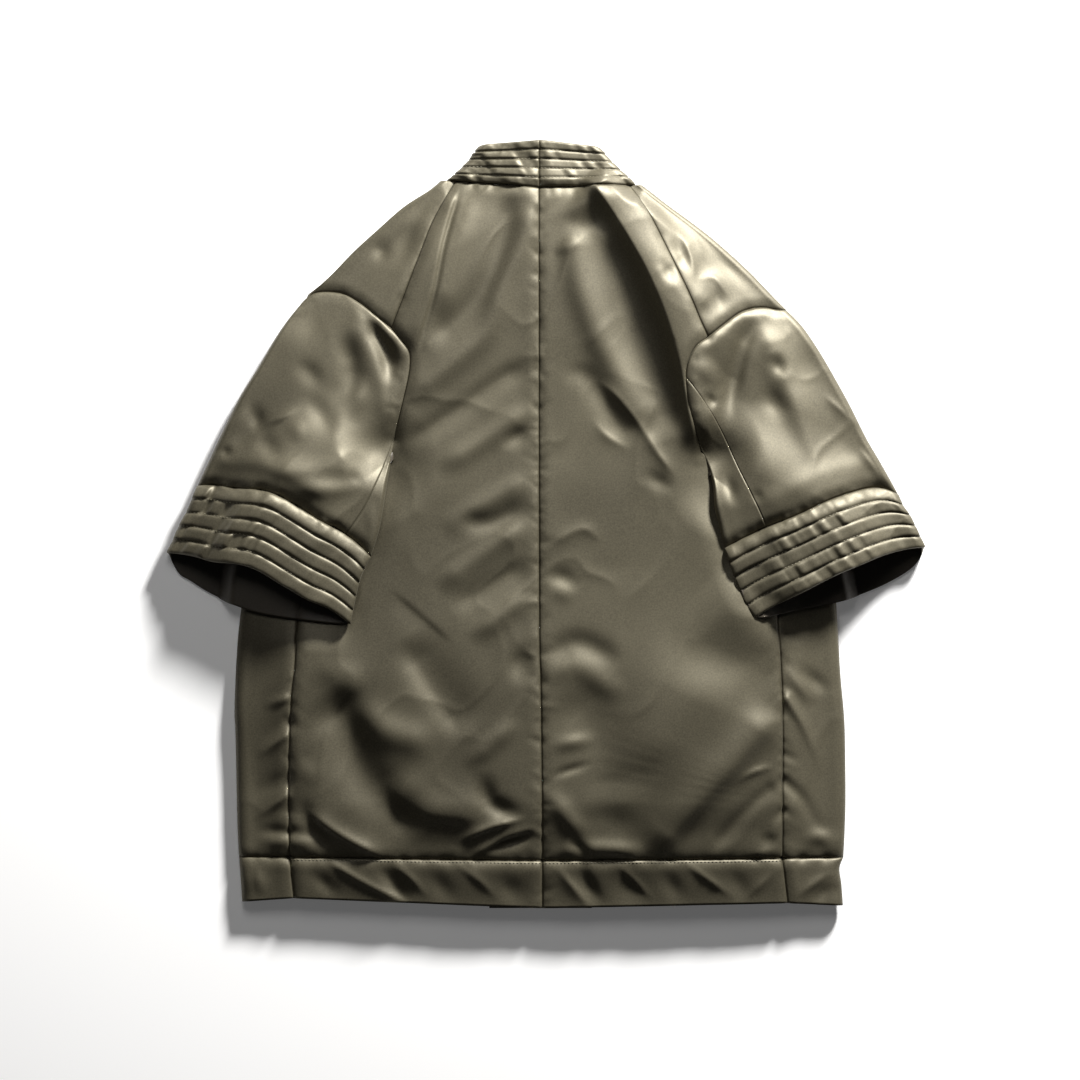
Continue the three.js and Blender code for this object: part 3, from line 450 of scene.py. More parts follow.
class Line:
    """A smooth line on the table, kept as short straight runs with their lengths."""

    SMOOTHING = 6
    CHUNK = 20000
    LEAST_SQUARE = 1e-12

    def __init__(self, points: Points) -> None:
        """Keep the points and measure the line.

        Args:
            points: Rows of across and down.
        """
        self.points = points
        self.runs = np.diff(points, axis=0)
        self.steps = np.linalg.norm(self.runs, axis=1)
        self.lengths = np.concatenate(([0.0], np.cumsum(self.steps)))
        self.length = float(self.lengths[-1])

    @classmethod
    def through(cls, listed: Marks) -> "Line":
        """Draw a Catmull-Rom curve through measured points.

        Args:
            listed: The points, as places across and down the table.

        Returns:
            The drawn line.
        """
        points = np.array(listed, float)
        padded = np.vstack((points[:1], points, points[-1:]))
        drawn = []
        for index in range(len(points) - 1):
            a, b, c, d = padded[index:index + 4]
            for step in range(cls.SMOOTHING):
                t = step / cls.SMOOTHING
                drawn.append(0.5 * (2 * b + (c - a) * t + (2 * a - 5 * b + 4 * c - d) * t * t
                                    + (3 * b - a - 3 * c + d) * t ** 3))
        return cls(np.array([*drawn, points[-1]]))

    @classmethod
    def join(cls, *lines: "Line") -> "Line":
        """Join lines end to end."""
        return cls(np.vstack([lines[0].points, *(line.points[1:] for line in lines[1:])]))

    def reversed(self) -> "Line":
        """Return the same line walked the other way."""
        return Line(self.points[::-1])

    def at(self, share: Values) -> Points:
        """Return the points at shares of the length."""
        wanted = np.clip(share, 0.0, 1.0) * self.length
        return np.column_stack([np.interp(wanted, self.lengths, column) for column in self.points.T])

    def at_down(self, down: Values) -> Points:
        """Return the points that lie the given distances down the table."""
        held = np.clip(down, self.points[0, 1], self.points[-1, 1])
        return np.column_stack((np.interp(held, self.points[:, 1], self.points[:, 0]), down))

    def around(self, points: Points, reach: float) -> np.ndarray:
        """Return the indices of the points within reach of the line's box."""
        low, high = self.points.min(0) - reach, self.points.max(0) + reach
        return np.flatnonzero(((points > low) & (points < high)).all(axis=1))

    def nearest(self, points: Points) -> tuple[Values, Values, Values]:
        """Find the nearest place on the line for each point.

        Args:
            points: Rows of across and down.

        Returns:
            Distances from the line, lengths along it, and the side each point is on.
        """
        parts = [self._nearest(points[i:i + self.CHUNK]) for i in range(0, len(points), self.CHUNK)]
        if not parts:
            return np.empty(0), np.empty(0), np.empty(0)
        return tuple(np.concatenate(column) for column in zip(*parts))

    def _nearest(self, points: Points) -> tuple[Values, Values, Values]:
        """Find the nearest places for one batch of points.

        Args:
            points: Rows of across and down.

        Returns:
            Distances, lengths along the line, and sides.
        """
        runs = self.runs
        offset = points[:, None, :] - self.points[None, :-1, :]
        squares = np.maximum((runs ** 2).sum(1), self.LEAST_SQUARE)
        share = np.clip((offset * runs).sum(2) / squares, 0.0, 1.0)
        gap = np.linalg.norm(offset - share[:, :, None] * runs, axis=2)
        best = gap.argmin(axis=1)
        rows = np.arange(len(points))
        cross = runs[best, 0] * offset[rows, best, 1] - runs[best, 1] * offset[rows, best, 0]
        along = self.lengths[best] + share[rows, best] * self.steps[best]
        return gap[rows, best], along, np.sign(cross)


CENTRE = Line.through(CENTRE_SEAM)


class FoldField:
    """Adds up the height of a set of folds."""

    REACH = 3.0
    CREST_ROUND = 0.02
    CREST_STEEPNESS = 1.5
    CREST_FOOT = 2.2
    LEDGE_STEEPNESS = 9.0
    LEDGE_SHARE = 0.35

    def __init__(self, folds: tuple[Fold, ...]) -> None:
        """Draw every fold's line once."""
        self.folds = [(fold, Line.through(fold.path)) for fold in folds]

    def height(self, points: Points) -> Values:
        """Add up the folds at each point.

        Args:
            points: Rows of across and down.

        Returns:
            The folds' height at each point.
        """
        total = np.zeros(len(points))
        for fold, line in self.folds:
            near = line.around(points, max(fold.right, fold.left) * self.REACH)
            if len(near):
                total[near] += self._one(fold, line, points[near])
        return total

    def _one(self, fold: Fold, line: Line, points: Points) -> Values:
        """Shape one fold.

        Args:
            fold: The fold.
            line: Its drawn line.
            points: Rows of across and down, all near the line.

        Returns:
            The fold's height at each point.
        """
        distance, along, side = line.nearest(points)
        grows, dies = min(fold.grows_over, line.length / 2), min(fold.dies_over, line.length / 2)
        strength = ease((line.length - along) / (line.length if fold.rooted else dies))
        if not fold.rooted:
            strength = strength * ease(along / grows)
        spread = distance / np.where(side > 0, fold.right, fold.left)
        soft = np.exp(-(spread ** 2))
        blunt = math.sqrt(self.CREST_ROUND)
        away = np.sqrt(spread ** 2 + self.CREST_ROUND) - blunt
        sharp = np.exp(-away * self.CREST_STEEPNESS) * np.exp(-((spread / self.CREST_FOOT) ** 2))
        if fold.fall is Fall.LEDGE:
            sharp = mix(sharp, np.exp(-away * self.LEDGE_STEEPNESS), self.LEDGE_SHARE)
        pointed = (fold.fall is Fall.CREST) | ((fold.fall is Fall.LEDGE) & (side > 0))
        return fold.rise * strength * np.where(pointed, sharp, soft)


@dataclass(frozen=True)
class Puckers:
    """Short drag lines that leave a seam where its stitches gather the cloth.

    The pairs in capitals are the least and most of a random draw, as shares of the usual size.
    """

    FIRST = (0.2, 1.0)
    APART = (0.45, 1.7)
    LONG = (0.6, 1.2)
    HIGH = (0.5, 1.3)
    WIDER = (0.7, 1.4)
    UP_OR_DOWN = (-1.0, 0.8)
    LEAN_SPREAD = 0.25
    BEND_SPREAD = 0.25
    PAST_SEAM = 0.5
    NEXT_TO = 1.5
    BARE_END = 3.0

    line: Line
    spacing: float
    length: tuple[float, float]
    rise: float
    lean: float
    seed: int
    sides: tuple[int, ...] = (-1, 1)
    half_width: tuple[float, float] = (2.6, 4.8)

    def folds(self) -> tuple[Fold, ...]:
        """Scatter the drag lines along both sides of the seam.

        Returns:
            The folds, rooted at the seam.
        """
        chance = np.random.default_rng(self.seed)
        made = []
        for hand in self.sides:
            along = chance.uniform(*self.FIRST) * self.spacing
            while along < self.line.length - self.BARE_END:
                made.append(self._one(chance, hand, along))
                along += self.spacing * chance.uniform(*self.APART)
        return tuple(made)

    def _one(self, chance: np.random.Generator, hand: int, along: float) -> Fold:
        """Draw one drag line.

        Args:
            chance: Source of the random draws.
            hand: 1 or -1, the side of the seam it runs to.
            along: Its distance along the seam.

        Returns:
            The drag line as a fold.
        """
        ends = np.array([along - self.NEXT_TO, along + self.NEXT_TO]) / self.line.length
        start, ahead = self.line.at(ends)
        run = (ahead - start) / max(float(np.linalg.norm(ahead - start)), 1e-6)
        across = np.array([-run[1], run[0]]) * hand
        length = chance.uniform(*self.length) * chance.uniform(*self.LONG)
        lean = self.lean + chance.normal(0, self.LEAN_SPREAD)
        first = across + run * lean
        second = across + run * (lean + chance.normal(0, self.BEND_SPREAD))
        middle = start + first / np.linalg.norm(first) * length / 2
        end = middle + second / np.linalg.norm(second) * length / 2
        rise = self.rise * chance.uniform(*self.HIGH) * chance.choice(self.UP_OR_DOWN)
        width = chance.uniform(*self.half_width)
        path = tuple(map(tuple, (start - first * self.PAST_SEAM, middle, end)))
        return Fold(rise, width, width * chance.uniform(*self.WIDER), path, rooted=True)


@dataclass(frozen=True)
class Seam:
    """A sewn line: a narrow groove with the cloth rounded down to it on both sides."""

    REACH = 3

    line: Line
    groove: float = 1.1
    groove_width: float = 1.3
    dip: float = 1.0
    dip_width: float = 7.0
    plump: float = 0.4

    def height(self, points: Points) -> Values:
        """Shape the cloth beside the seam.

        Args:
            points: Rows of across and down.

        Returns:
            Height against the unsewn cloth at each point.
        """
        total = np.zeros(len(points))
        near = self.line.around(points, self.dip_width * self.REACH)
        if len(near):
            distance = self.line.nearest(points[near])[0]
            cut = self.groove * np.exp(-distance / self.groove_width)
            bowl = self.dip * np.exp(-((distance / self.dip_width) ** 2))
            swell = self.plump * np.exp(-(((distance - self.dip_width) / self.dip_width) ** 2))
            total[near] = swell - cut - bowl
        return total


class JacketSide:
    """The outlines and seams of one side of the jacket."""

    def __init__(self, tag: str, lines: dict[str, Marks], inward: int) -> None:
        """Draw the side's lines.

        Args:
            tag: Ending of the side's piece names.
            lines: Measured points of each line.
            inward: 1 where the middle of the jacket lies to the right, -1 to the left.
        """
        self.tag = tag
        self.inward = inward
        self.lines = {name: Line.through(points) for name, points in lines.items()}
        self.armhole = Line.join(self["armhole_top"], self["armhole_hook"])
        armpit, below = self["armhole_hook"].points[-1], self["body_seam"].points[0]
        tucked = (armpit + below) / 2 - np.array((TUCKED_UNDER * inward, 0))
        underarm = Line(np.vstack((armpit, tucked, below)))
        self.panel_seam = Line.join(self["yoke_seam"], self["armhole_hook"], underarm, self["body_seam"])
        self.outline = (
            Line.join(self["collar_fold"].reversed(), self["shoulder_edge"]),
            Line.join(self["body_edge"], self["hem_edge"]),
        )
        corner = Line(np.vstack((self["body_seam"].points[0], self["body_edge"].points[0])))
        self.hidden_body = Line.join(corner, self["body_edge"])
        self.sleeve_outline = Line.join(self["outer_sleeve"], self["cuff_outer"])
        self.sleeve_inside = Line.join(self["inner_sleeve"], self["cuff_inner"])
        self.yoke_share = self["armhole_top"].length / self.armhole.length

    def __getitem__(self, name: str) -> Line:
        """Return a line by name."""
        return self.lines[name]


LEFT = JacketSide("left", LEFT_LINES, 1)
RIGHT = JacketSide("right", RIGHT_LINES, -1)
SIDES = (LEFT, RIGHT)


class JacketForm:
    """The laid jacket's upper and under faces as heights above the table."""

    SLEEVE_LIFT = 1.2
    SLEEVE_LOFT = 19.0
    SLEEVE_PAD = 2.5
    SLEEVE_CROWN = 9.0
    SLEEVE_CROWN_START = 6.5
    SLEEVE_SPREAD = 55.0
    SLEEVE_FOLD_SPREAD = 18.0
    SLEEVE_CLIMB = 18.0
    SLEEVE_CLIMB_START = 6.0
    SLEEVE_DRAPE = 75.0
    SLEEVE_PRESS = {"left": 0.7, "right": 0.4}
    SLEEVE_SEED = 41
    ARMHOLE_BLEND = 60.0
    SEAM_HOLD = 9.0
    PRESS_EDGE = (22.0, 50.0)
    PRESS_TOP = (425.0, 40.0)
    PRESS_BOTTOM = (30.0, 45.0)
    BARE_EDGE = 2.0
    FOLD_SPREAD = 20.0
    BODY_SEED = 31
    DRAPE_TURN = 28.0
    DRAPE_STRETCH = 2.4
    DRAPE_SIZES = ((1.5, 50), (0.3, 22))
    CREASE_SPACING = 38.0
    CREASE_SWERVE = 16.0
    SWERVE_SCALE = 1.6
    CREASE_SHARPNESS = 4.0
    CREASE_RISE = 0.9
    PATCH_SCALE = 2.5
    PATCH_GAIN = 1.2
    PATCH_MIDDLE = 0.5

    def __init__(self) -> None:
        """Draw the folds, the seams and the puckers beside them."""
        self.body_seams, puckers = self._body_seams()
        named = UPPER_BACK_FOLDS + LOWER_BACK_FOLDS + SIDE_PANEL_FOLDS + HEM_FOLDS + SHOULDER_FOLDS
        self.body_folds = FoldField(named + self._scattered(puckers))
        rows = []
        for index, side in enumerate(SIDES):
            rows += [
                Puckers(side["cuff_seam"], spacing=9, length=(6, 20), rise=0.9, lean=0.2, seed=50 + index),
                Puckers(side.armhole, spacing=14, length=(8, 24), rise=0.9, lean=0.1, seed=60 + index),
            ]
        self.sleeve_folds = FoldField(SLEEVE_FOLDS + self._scattered(rows))
        self.sleeve_seams = {side.tag: [Seam(side.armhole, dip=1.6), Seam(side["cuff_seam"], dip=3.2)]
                             for side in SIDES}

    def _body_seams(self) -> tuple[list[Seam], list[Puckers]]:
        """Draw the body's seams.

        Returns:
            The seams, and the rows of puckers beside them.
        """
        neck, hem = (Line(np.array(marks)) for marks in (NECK_SEAM, HEM_SEAM))
        seams = [Seam(CENTRE), Seam(neck, dip=2.2), Seam(hem, groove=1.4, groove_width=1.5, dip=1.1)]
        puckers = [
            Puckers(CENTRE, spacing=14, length=(10, 26), rise=0.8, lean=-0.45, seed=5),
            Puckers(neck, spacing=9, length=(8, 20), rise=0.8, lean=0.1, seed=6, sides=(1,)),
            Puckers(hem, spacing=11, length=(6, 18), rise=0.5, lean=0.5, seed=7),
        ]
        for index, side in enumerate(SIDES):
            yoke, body, top = side["yoke_seam"], side["body_seam"], side["armhole_top"]
            seams += [Seam(yoke), Seam(body), Seam(side["hem_seam"]), Seam(side.armhole, dip=1.6)]
            puckers += [
                Puckers(yoke, spacing=30, length=(8, 20), rise=0.4, lean=0.3, seed=20 + index),
                Puckers(body, spacing=22, length=(14, 36), rise=0.5, lean=0.7, seed=30 + index),
                Puckers(top, spacing=18, length=(8, 22), rise=0.6, lean=0.1, seed=40 + index),
            ]
        return seams, puckers

    def _scattered(self, rows: list[Puckers]) -> tuple[Fold, ...]:
        """Return the folds of all rows of puckers."""
        return tuple(fold for row in rows for fold in row.folds())

    def outline_distance(self, points: Points) -> Values:
        """Return each point's distance from the nearest folded edge of the body."""
        lines = [line for side in SIDES for line in side.outline]
        return np.min([line.nearest(points)[0] for line in lines], axis=0)

    def under_sleeve(self, side: JacketSide, points: Points) -> Values:
        """Find how far the sleeve covers each point and presses it down.

        Args:
            side: The sleeve's side.
            points: Rows of across and down.

        Returns:
            0 in the open to 1 well under the sleeve, for each point.
        """
        inside = side.sleeve_inside
        bottom = inside.points[-1, 1]
        edge = np.interp(points[:, 1], inside.points[:, 1], inside.points[:, 0])
        reach = (edge - points[:, 0]) * side.inward
        rows = ease((points[:, 1] - self.PRESS_TOP[0]) / self.PRESS_TOP[1])
        rows *= ease((bottom + self.PRESS_BOTTOM[0] - points[:, 1]) / self.PRESS_BOTTOM[1])
        return ease((reach + self.PRESS_EDGE[0]) / self.PRESS_EDGE[1]) * rows

    def body_top(self, points: Points) -> Values:
        """Shape the upper face of the body and collar.

        Args:
            points: Rows of across and down.

        Returns:
            Height of the face at each point.
        """
        across = np.clip(np.abs(points[:, 0] - TABLE.across) / CROWN_HALF_WIDTH, 0, 1)
        crown = eased_table(CROWN, points[:, 1]) * (1 - across ** CROWN_FLATNESS)
        edge = self.outline_distance(points)
        inside = ease((edge - EDGE_START) / EDGE_SPREAD)
        near = ease((edge - self.BARE_EDGE) / self.FOLD_SPREAD)
        press = 1 - sum(self.SLEEVE_PRESS[side.tag] * self.under_sleeve(side, points) for side in SIDES)
        folds = self.body_folds.height(points) + self.drape(points, self.BODY_SEED)
        seams = sum(seam.height(points) for seam in self.body_seams)
        return EDGE_HEIGHT + (crown * inside + folds * near) * press + seams

    def drape(self, points: Points, seed: int) -> Values:
        """Make soft uneven lumps and faint creases, drawn out along the bias.

        Args:
            points: Rows of across and down.
            seed: Picks the pattern.

        Returns:
            Their height at each point.
        """
        turn = math.radians(self.DRAPE_TURN)
        spun = points @ np.array(((math.cos(turn), -math.sin(turn)), (math.sin(turn), math.cos(turn))))
        swerve = self.CREASE_SWERVE * soft_noise(points, self.CREASE_SPACING * self.SWERVE_SCALE, seed + 1)
        drawn = (spun + swerve[:, None]) / np.array((1.0, self.DRAPE_STRETCH))
        lumps = sum(size * soft_noise(drawn, scale, seed + int(scale)) for size, scale in self.DRAPE_SIZES)
        creases = (1 - np.abs(soft_noise(drawn, self.CREASE_SPACING, seed + 2))) ** self.CREASE_SHARPNESS
        patches = soft_noise(points, self.CREASE_SPACING * self.PATCH_SCALE, seed + 3)
        return lumps + self.CREASE_RISE * creases * ease(patches * self.PATCH_GAIN + self.PATCH_MIDDLE)

    def outside_body(self, side: JacketSide, points: Points) -> Values:
        """Measure how far outside the body edge under the sleeve each point lies.

        Args:
            side: The sleeve's side.
            points: Rows of across and down.

        Returns:
            Distances, less than 0 over the body.
        """
        first = side.hidden_body.points[0, 1]
        distance = side.hidden_body.nearest(points)[0]
        edge = side["body_edge"].at_down(np.maximum(points[:, 1], first))[:, 0]
        inside = (points[:, 1] > first) & ((points[:, 0] - edge) * side.inward > 0)
        return np.where(inside, -distance, distance)

    def sleeve_low(self, side: JacketSide, points: Points) -> Values:
        """Shape the under face of the sleeve and cuff.

        Args:
            side: The sleeve's side.
            points: Rows of across and down.

        Returns:
            Height of the face at each point.
        """
        outside = self.outside_body(side, points)
        climb = 1 - ease((outside - self.SLEEVE_CLIMB_START) / self.SLEEVE_CLIMB)
        return (self.body_top(points) + self.SLEEVE_LIFT) * climb

    def sleeve_top(self, side: JacketSide, points: Points) -> Values:
        """Shape the upper face of the sleeve and cuff.

        Args:
            side: The sleeve's side.
            points: Rows of across and down.

        Returns:
            Height of the face at each point.
        """
        outside = self.outside_body(side, points)
        drape = 1 - ease((outside - self.SLEEVE_CLIMB_START) / self.SLEEVE_DRAPE)
        edge = np.minimum(side.sleeve_outline.nearest(points)[0], side.sleeve_inside.nearest(points)[0])
        crown = self.SLEEVE_CROWN * ease((edge - self.SLEEVE_CROWN_START) / self.SLEEVE_SPREAD)
        near = ease(edge / self.SLEEVE_FOLD_SPREAD)
        from_armhole = side.armhole.nearest(points)[0]
        folds = (self.sleeve_folds.height(points) + self.drape(points, self.SLEEVE_SEED)) * near
        support = (EDGE_HEIGHT + self.SLEEVE_PAD) * drape
        loose = self.SLEEVE_LOFT + support + crown
        sewn = self.body_top(points)
        share = ease(from_armhole / self.ARMHOLE_BLEND)
        seams = sum(seam.height(points) for seam in self.sleeve_seams[side.tag])
        return mix(sewn, loose + seams, share) + folds * ease(from_armhole / self.SEAM_HOLD)


FORM = JacketForm()


def on_table(points: Points) -> Values:
    """Return the height of cloth that lies on the table."""
    return np.zeros(len(points))


def patch(start: Track, end: Track, outer: Track, inner: Track) -> Rise:
    """Span four lines with one patch of the table.

    Args:
        start: Points across the patch's first row.
        end: Points across its last row.
        outer: Points down its outer side.
        inner: Points down its inner side.

    Returns:
        A function from shares down and across to points.
    """
    zero, one = np.zeros(1), np.ones(1)
    a, b, c, d = start(zero), start(one), end(zero), end(one)

    def point(down: Values, across: Values) -> Points:
        """Return the points at shares down and across."""
        v, f = down[:, None], across[:, None]
        edges = start(across) * (1 - v) + end(across) * v + outer(down) * (1 - f) + inner(down) * f
        return edges - a * (1 - v) * (1 - f) - b * (1 - v) * f - c * v * (1 - f) - d * v * f

    return point


def ruled(outer: Track, inner: Track) -> tuple[Plan, Measure]:
    """Span two lines with straight rows.

    Args:
        outer: Points of the outer line.
        inner: Points of the inner line.

    Returns:
        The plan, and the width of its rows.
    """
    def plan(down: Values, share: Values, _layer: Values) -> Points:
        """Return the points at shares across the rows."""
        return mix(outer(down), inner(down), share[:, None])

    def width(down: Values) -> Values:
        """Return the width of the rows."""
        return np.linalg.norm(outer(down) - inner(down), axis=1)

    return plan, width


def wrapped_runs(flat: float, fold: float) -> Runs:
    """Return the stretches of a piece that turns round the jacket's outer edge."""
    return (Stretch(Run.TOP, 1, 0, flat), Stretch(Run.OUTER_FOLD, 1, -1, fold),
            Stretch(Run.LOW, 0, 1, flat))


@dataclass
class Section:
    """Bends a strip across the cloth over its top, round its folds and along its underside.

    A place on a flat stretch runs from 0 at the outer edge to 1 at the split, or at the inner edge
    where there is no split, and from 1 to 2 past the split. On a fold it runs from 1 at the top
    to -1 underneath.
    """

    plan: Plan
    width: Measure
    top: Level
    low: Level
    fold: float
    runs: Runs
    rib: Rise | None = None
    split: Measure | None = None
    folds_inside: bool = False

    def place(self, across: Values, down: Values) -> tuple[Points, Values]:
        """Find the outer face of the cloth.

        Args:
            across: Shares along the strip, through all its stretches.
            down: Places down the piece, in the plan's own terms.

        Returns:
            Points on the table and their heights.
        """
        points, heights = np.zeros((len(across), 2)), np.zeros(len(across))
        total = sum(run.length for run in self.runs)
        start = 0.0
        for run in self.runs:
            stop = start + run.length / total
            final = run is self.runs[-1]
            mask = (across >= start - ROUNDING) & ((across < stop - ROUNDING) | final)
            if mask.any():
                local = mix(run.first, run.last, (across[mask] - start) / (stop - start))
                points[mask], heights[mask] = self._run(run.kind, local, down[mask])
            start = stop
        return points, heights

    def _run(self, kind: Run, value: Values, down: Values) -> tuple[Points, Values]:
        """Place the points of one stretch.

        Args:
            kind: What the stretch is.
            value: Places along it.
            down: Places down the piece.

        Returns:
            Points on the table and their heights.
        """
        width = self.width(down)
        radius = np.minimum(self.fold, width * NARROW_SHARE)
        if kind in (Run.OUTER_FOLD, Run.INNER_FOLD):
            return self._fold(kind, value, down, radius)
        first = radius / width
        last = 1 - radius / width if self.folds_inside else np.ones(len(down))
        if self.split is not None:
            cut = self.split(down)
            first, last = (np.where(value <= 1, first, cut), np.where(value <= 1, cut, last))
        share = mix(first, last, np.where(value <= 1, value, value - 1))
        layer = np.full(len(down), 1.0 if kind is Run.TOP else 0.0)
        points = self.plan(down, share, layer)
        if kind is Run.LOW:
            return points, self.low(points)
        rise = self.rib(down, share) if self.rib else 0.0
        return points, self.top(points) + rise

    def _fold(self, kind: Run, turn: Values, down: Values, radius: Values) -> tuple[Points, Values]:
        """Place the points of a rounded fold.

        Args:
            kind: Which of the two folds it is.
            turn: Places round the fold, from 1 at the top to -1 underneath.
            down: Places down the piece.
            radius: How far in from the edge the fold starts.

        Returns:
            Points on the table and their heights.
        """
        angle = turn * math.pi / 2
        layer = (1 + np.sin(angle)) / 2
        width = self.width(down)
        inner = kind is Run.INNER_FOLD

        def share(reach: Values) -> Values:
            """Return the shares across at distances in from the folded edge."""
            return 1 - reach / width if inner else reach / width

        high = self.top(self.plan(down, share(radius), np.ones(len(down))))
        low = self.low(self.plan(down, share(radius), np.zeros(len(down))))
        middle, half = (high + low) / 2, (high - low) / 2
        swell = self.rib(down, share(radius)) * ease(layer * 2 - 0.5) if self.rib else 0.0
        reach = radius - (radius + swell) * np.cos(angle)
        points = self.plan(down, share(reach), layer)
        return points, middle + (half + swell) * np.sin(angle)


class NodeBoard:
    """The nodes of one material, with short ways to add and link them."""

    def __init__(self, material: bpy.types.Material) -> None:
        """Clear the material's nodes.

        Args:
            material: The material to build on.
        """
        material.use_nodes = True
        self.nodes, self.links = material.node_tree.nodes, material.node_tree.links
        self.nodes.clear()
        self.place = self.add("ShaderNodeTexCoord")

    def add(self, kind: str, settings: dict[str, float | Colour] | None = None) -> bpy.types.Node:
        """Add a node.

        Args:
            kind: The node's type.
            settings: Values of its inputs.

        Returns:
            The node.
        """
        node = self.nodes.new(kind)
        for name, value in (settings or {}).items():
            node.inputs[name].default_value = value
        return node

    def link(self, source: bpy.types.Node, output: str, target: bpy.types.Node, socket: str) -> None:
        """Link one node's output to another's input."""
        self.links.new(source.outputs[output], target.inputs[socket])

    def noise(self, scale: float, detail: float) -> bpy.types.Node:
        """Add a noise texture on object coordinates.

        Args:
            scale: How small its lumps are.
            detail: How many finer layers it has.

        Returns:
            The texture's node.
        """
        noise = self.add("ShaderNodeTexNoise", {"Scale": scale, "Detail": detail})
        self.link(self.place, "Object", noise, "Vector")
        return noise


@dataclass(frozen=True)
class Finish:
    """A woven finish: its two shades, gloss, sheen and relief.

    The pairs of noise sizes are scale and detail. Depths are in metres.
    """

    SHEEN_ROUGHNESS = 0.35
    SHEEN_TINT = (0.75, 0.72, 0.6, 1)
    BROAD_NOISE = (9.0, 3.0)
    GRAIN_NOISE = (650.0, 1.0)
    GRAIN_SHARE = 0.55
    SHADE_PLACES = (0.3, 0.7)
    WRINKLE_NOISE = (60.0, 4.0)
    WRINKLE_DEPTH = 0.0012
    WEAVE_SCALE = 420.0
    WEAVE_WANDER = 0.6
    WEAVE_DEPTH = 0.0002

    name: str
    light: Colour
    deep: Colour
    roughness: float
    sheen: float
    weave: float
    wrinkle: float
    metallic: float = 0.0
    ior: float = 1.5

    def material(self) -> bpy.types.Material:
        """Build the finish as a node material, or return it if it is there.

        Returns:
            The material.
        """
        material = bpy.data.materials.get(self.name)
        if material is not None:
            return material
        material = bpy.data.materials.new(self.name)
        board = NodeBoard(material)
        shader = board.add("ShaderNodeBsdfPrincipled", {
            "Roughness": self.roughness,
            "Sheen Weight": self.sheen,
            "Sheen Roughness": self.SHEEN_ROUGHNESS,
            "Sheen Tint": self.SHEEN_TINT,
            "Metallic": self.metallic,
            "IOR": self.ior,
        })
        output = board.add("ShaderNodeOutputMaterial")
        board.link(shader, "BSDF", output, "Surface")
        self._colour(board, shader)
        self._relief(board, shader)
        return material

    def _colour(self, board: NodeBoard, shader: bpy.types.Node) -> None:
        """Blend the two shades by broad and fine noise.

        Args:
            board: The material's nodes.
            shader: The surface's shader.
        """
        broad = board.noise(*self.BROAD_NOISE)
        grain = board.noise(*self.GRAIN_NOISE)
        blend = board.add("ShaderNodeMix", {"Factor": self.GRAIN_SHARE})
        ramp = board.add("ShaderNodeValToRGB")
        stops = ramp.color_ramp.elements
        for stop, place, shade in zip(stops, self.SHADE_PLACES, (self.deep, self.light)):
            stop.position = place
            stop.color = shade
        board.link(broad, "Fac", blend, "A")
        board.link(grain, "Fac", blend, "B")
        board.link(blend, "Result", ramp, "Fac")
        board.link(ramp, "Color", shader, "Base Color")

    def _relief(self, board: NodeBoard, shader: bpy.types.Node) -> None:
        """Raise the weave and small wrinkles as bump.

        Args:
            board: The material's nodes.
            shader: The surface's shader.
        """
        wrinkles = board.noise(*self.WRINKLE_NOISE)
        bump = board.add("ShaderNodeBump", {"Strength": self.wrinkle, "Distance": self.WRINKLE_DEPTH})
        weave = board.add("ShaderNodeTexWave",
                          {"Scale": self.WEAVE_SCALE, "Distortion": self.WEAVE_WANDER})
        weave.wave_type = "BANDS"
        weave.bands_direction = "DIAGONAL"
        fine = board.add("ShaderNodeBump", {"Strength": self.weave, "Distance": self.WEAVE_DEPTH})
        board.link(wrinkles, "Fac", bump, "Height")
        board.link(board.place, "UV", weave, "Vector")
        board.link(weave, "Fac", fine, "Height")
        board.link(bump, "Normal", fine, "Normal")
        board.link(fine, "Normal", shader, "Normal")


OLIVE, DEEP_OLIVE = (0.112, 0.099, 0.064, 1), (0.062, 0.054, 0.034, 1)
BROWN, DEEP_BROWN = (0.05, 0.041, 0.028, 1), (0.034, 0.027, 0.018, 1)
PALE_OLIVE, DEEP_PALE_OLIVE = (0.2, 0.18, 0.12, 1), (0.14, 0.125, 0.085, 1)

SATIN = Finish("olive_satin", OLIVE, DEEP_OLIVE, roughness=0.54, sheen=0.04, weave=0.1, wrinkle=0.06,
               metallic=0.5, ior=1.6)
QUILTED = Finish("olive_quilting", OLIVE, DEEP_OLIVE, roughness=0.54, sheen=0.04, weave=0.1, wrinkle=0.08,
                 metallic=0.5, ior=1.6)
LINING = Finish("brown_lining", BROWN, DEEP_BROWN, roughness=0.55, sheen=0.05, weave=0.1, wrinkle=0.1)
THREAD = Finish("olive_thread", PALE_OLIVE, DEEP_PALE_OLIVE, roughness=0.5, sheen=0.1, weave=0.1,
                wrinkle=0.1)


def as_object(bm: bmesh.types.BMesh, name: str, mesh_name: str) -> bpy.types.Object:
    """Turn a finished bmesh into a smooth object of the scene.

    Args:
        bm: The shape, which is freed.
        name: The object's name.
        mesh_name: Its mesh's name.

    Returns:
        The object.
    """
    mesh = bpy.data.meshes.new(mesh_name)
    for face in bm.faces:
        face.smooth = True
    bm.to_mesh(mesh)
    bm.free()
    made = bpy.data.objects.new(name, mesh)
    bpy.context.scene.collection.objects.link(made)
    return made


@dataclass(frozen=True)
class Cut:
    """A piece's flat cut: the rectangle it comes out of and the share of it that it fills."""

    width: float
    length: float
    share: float


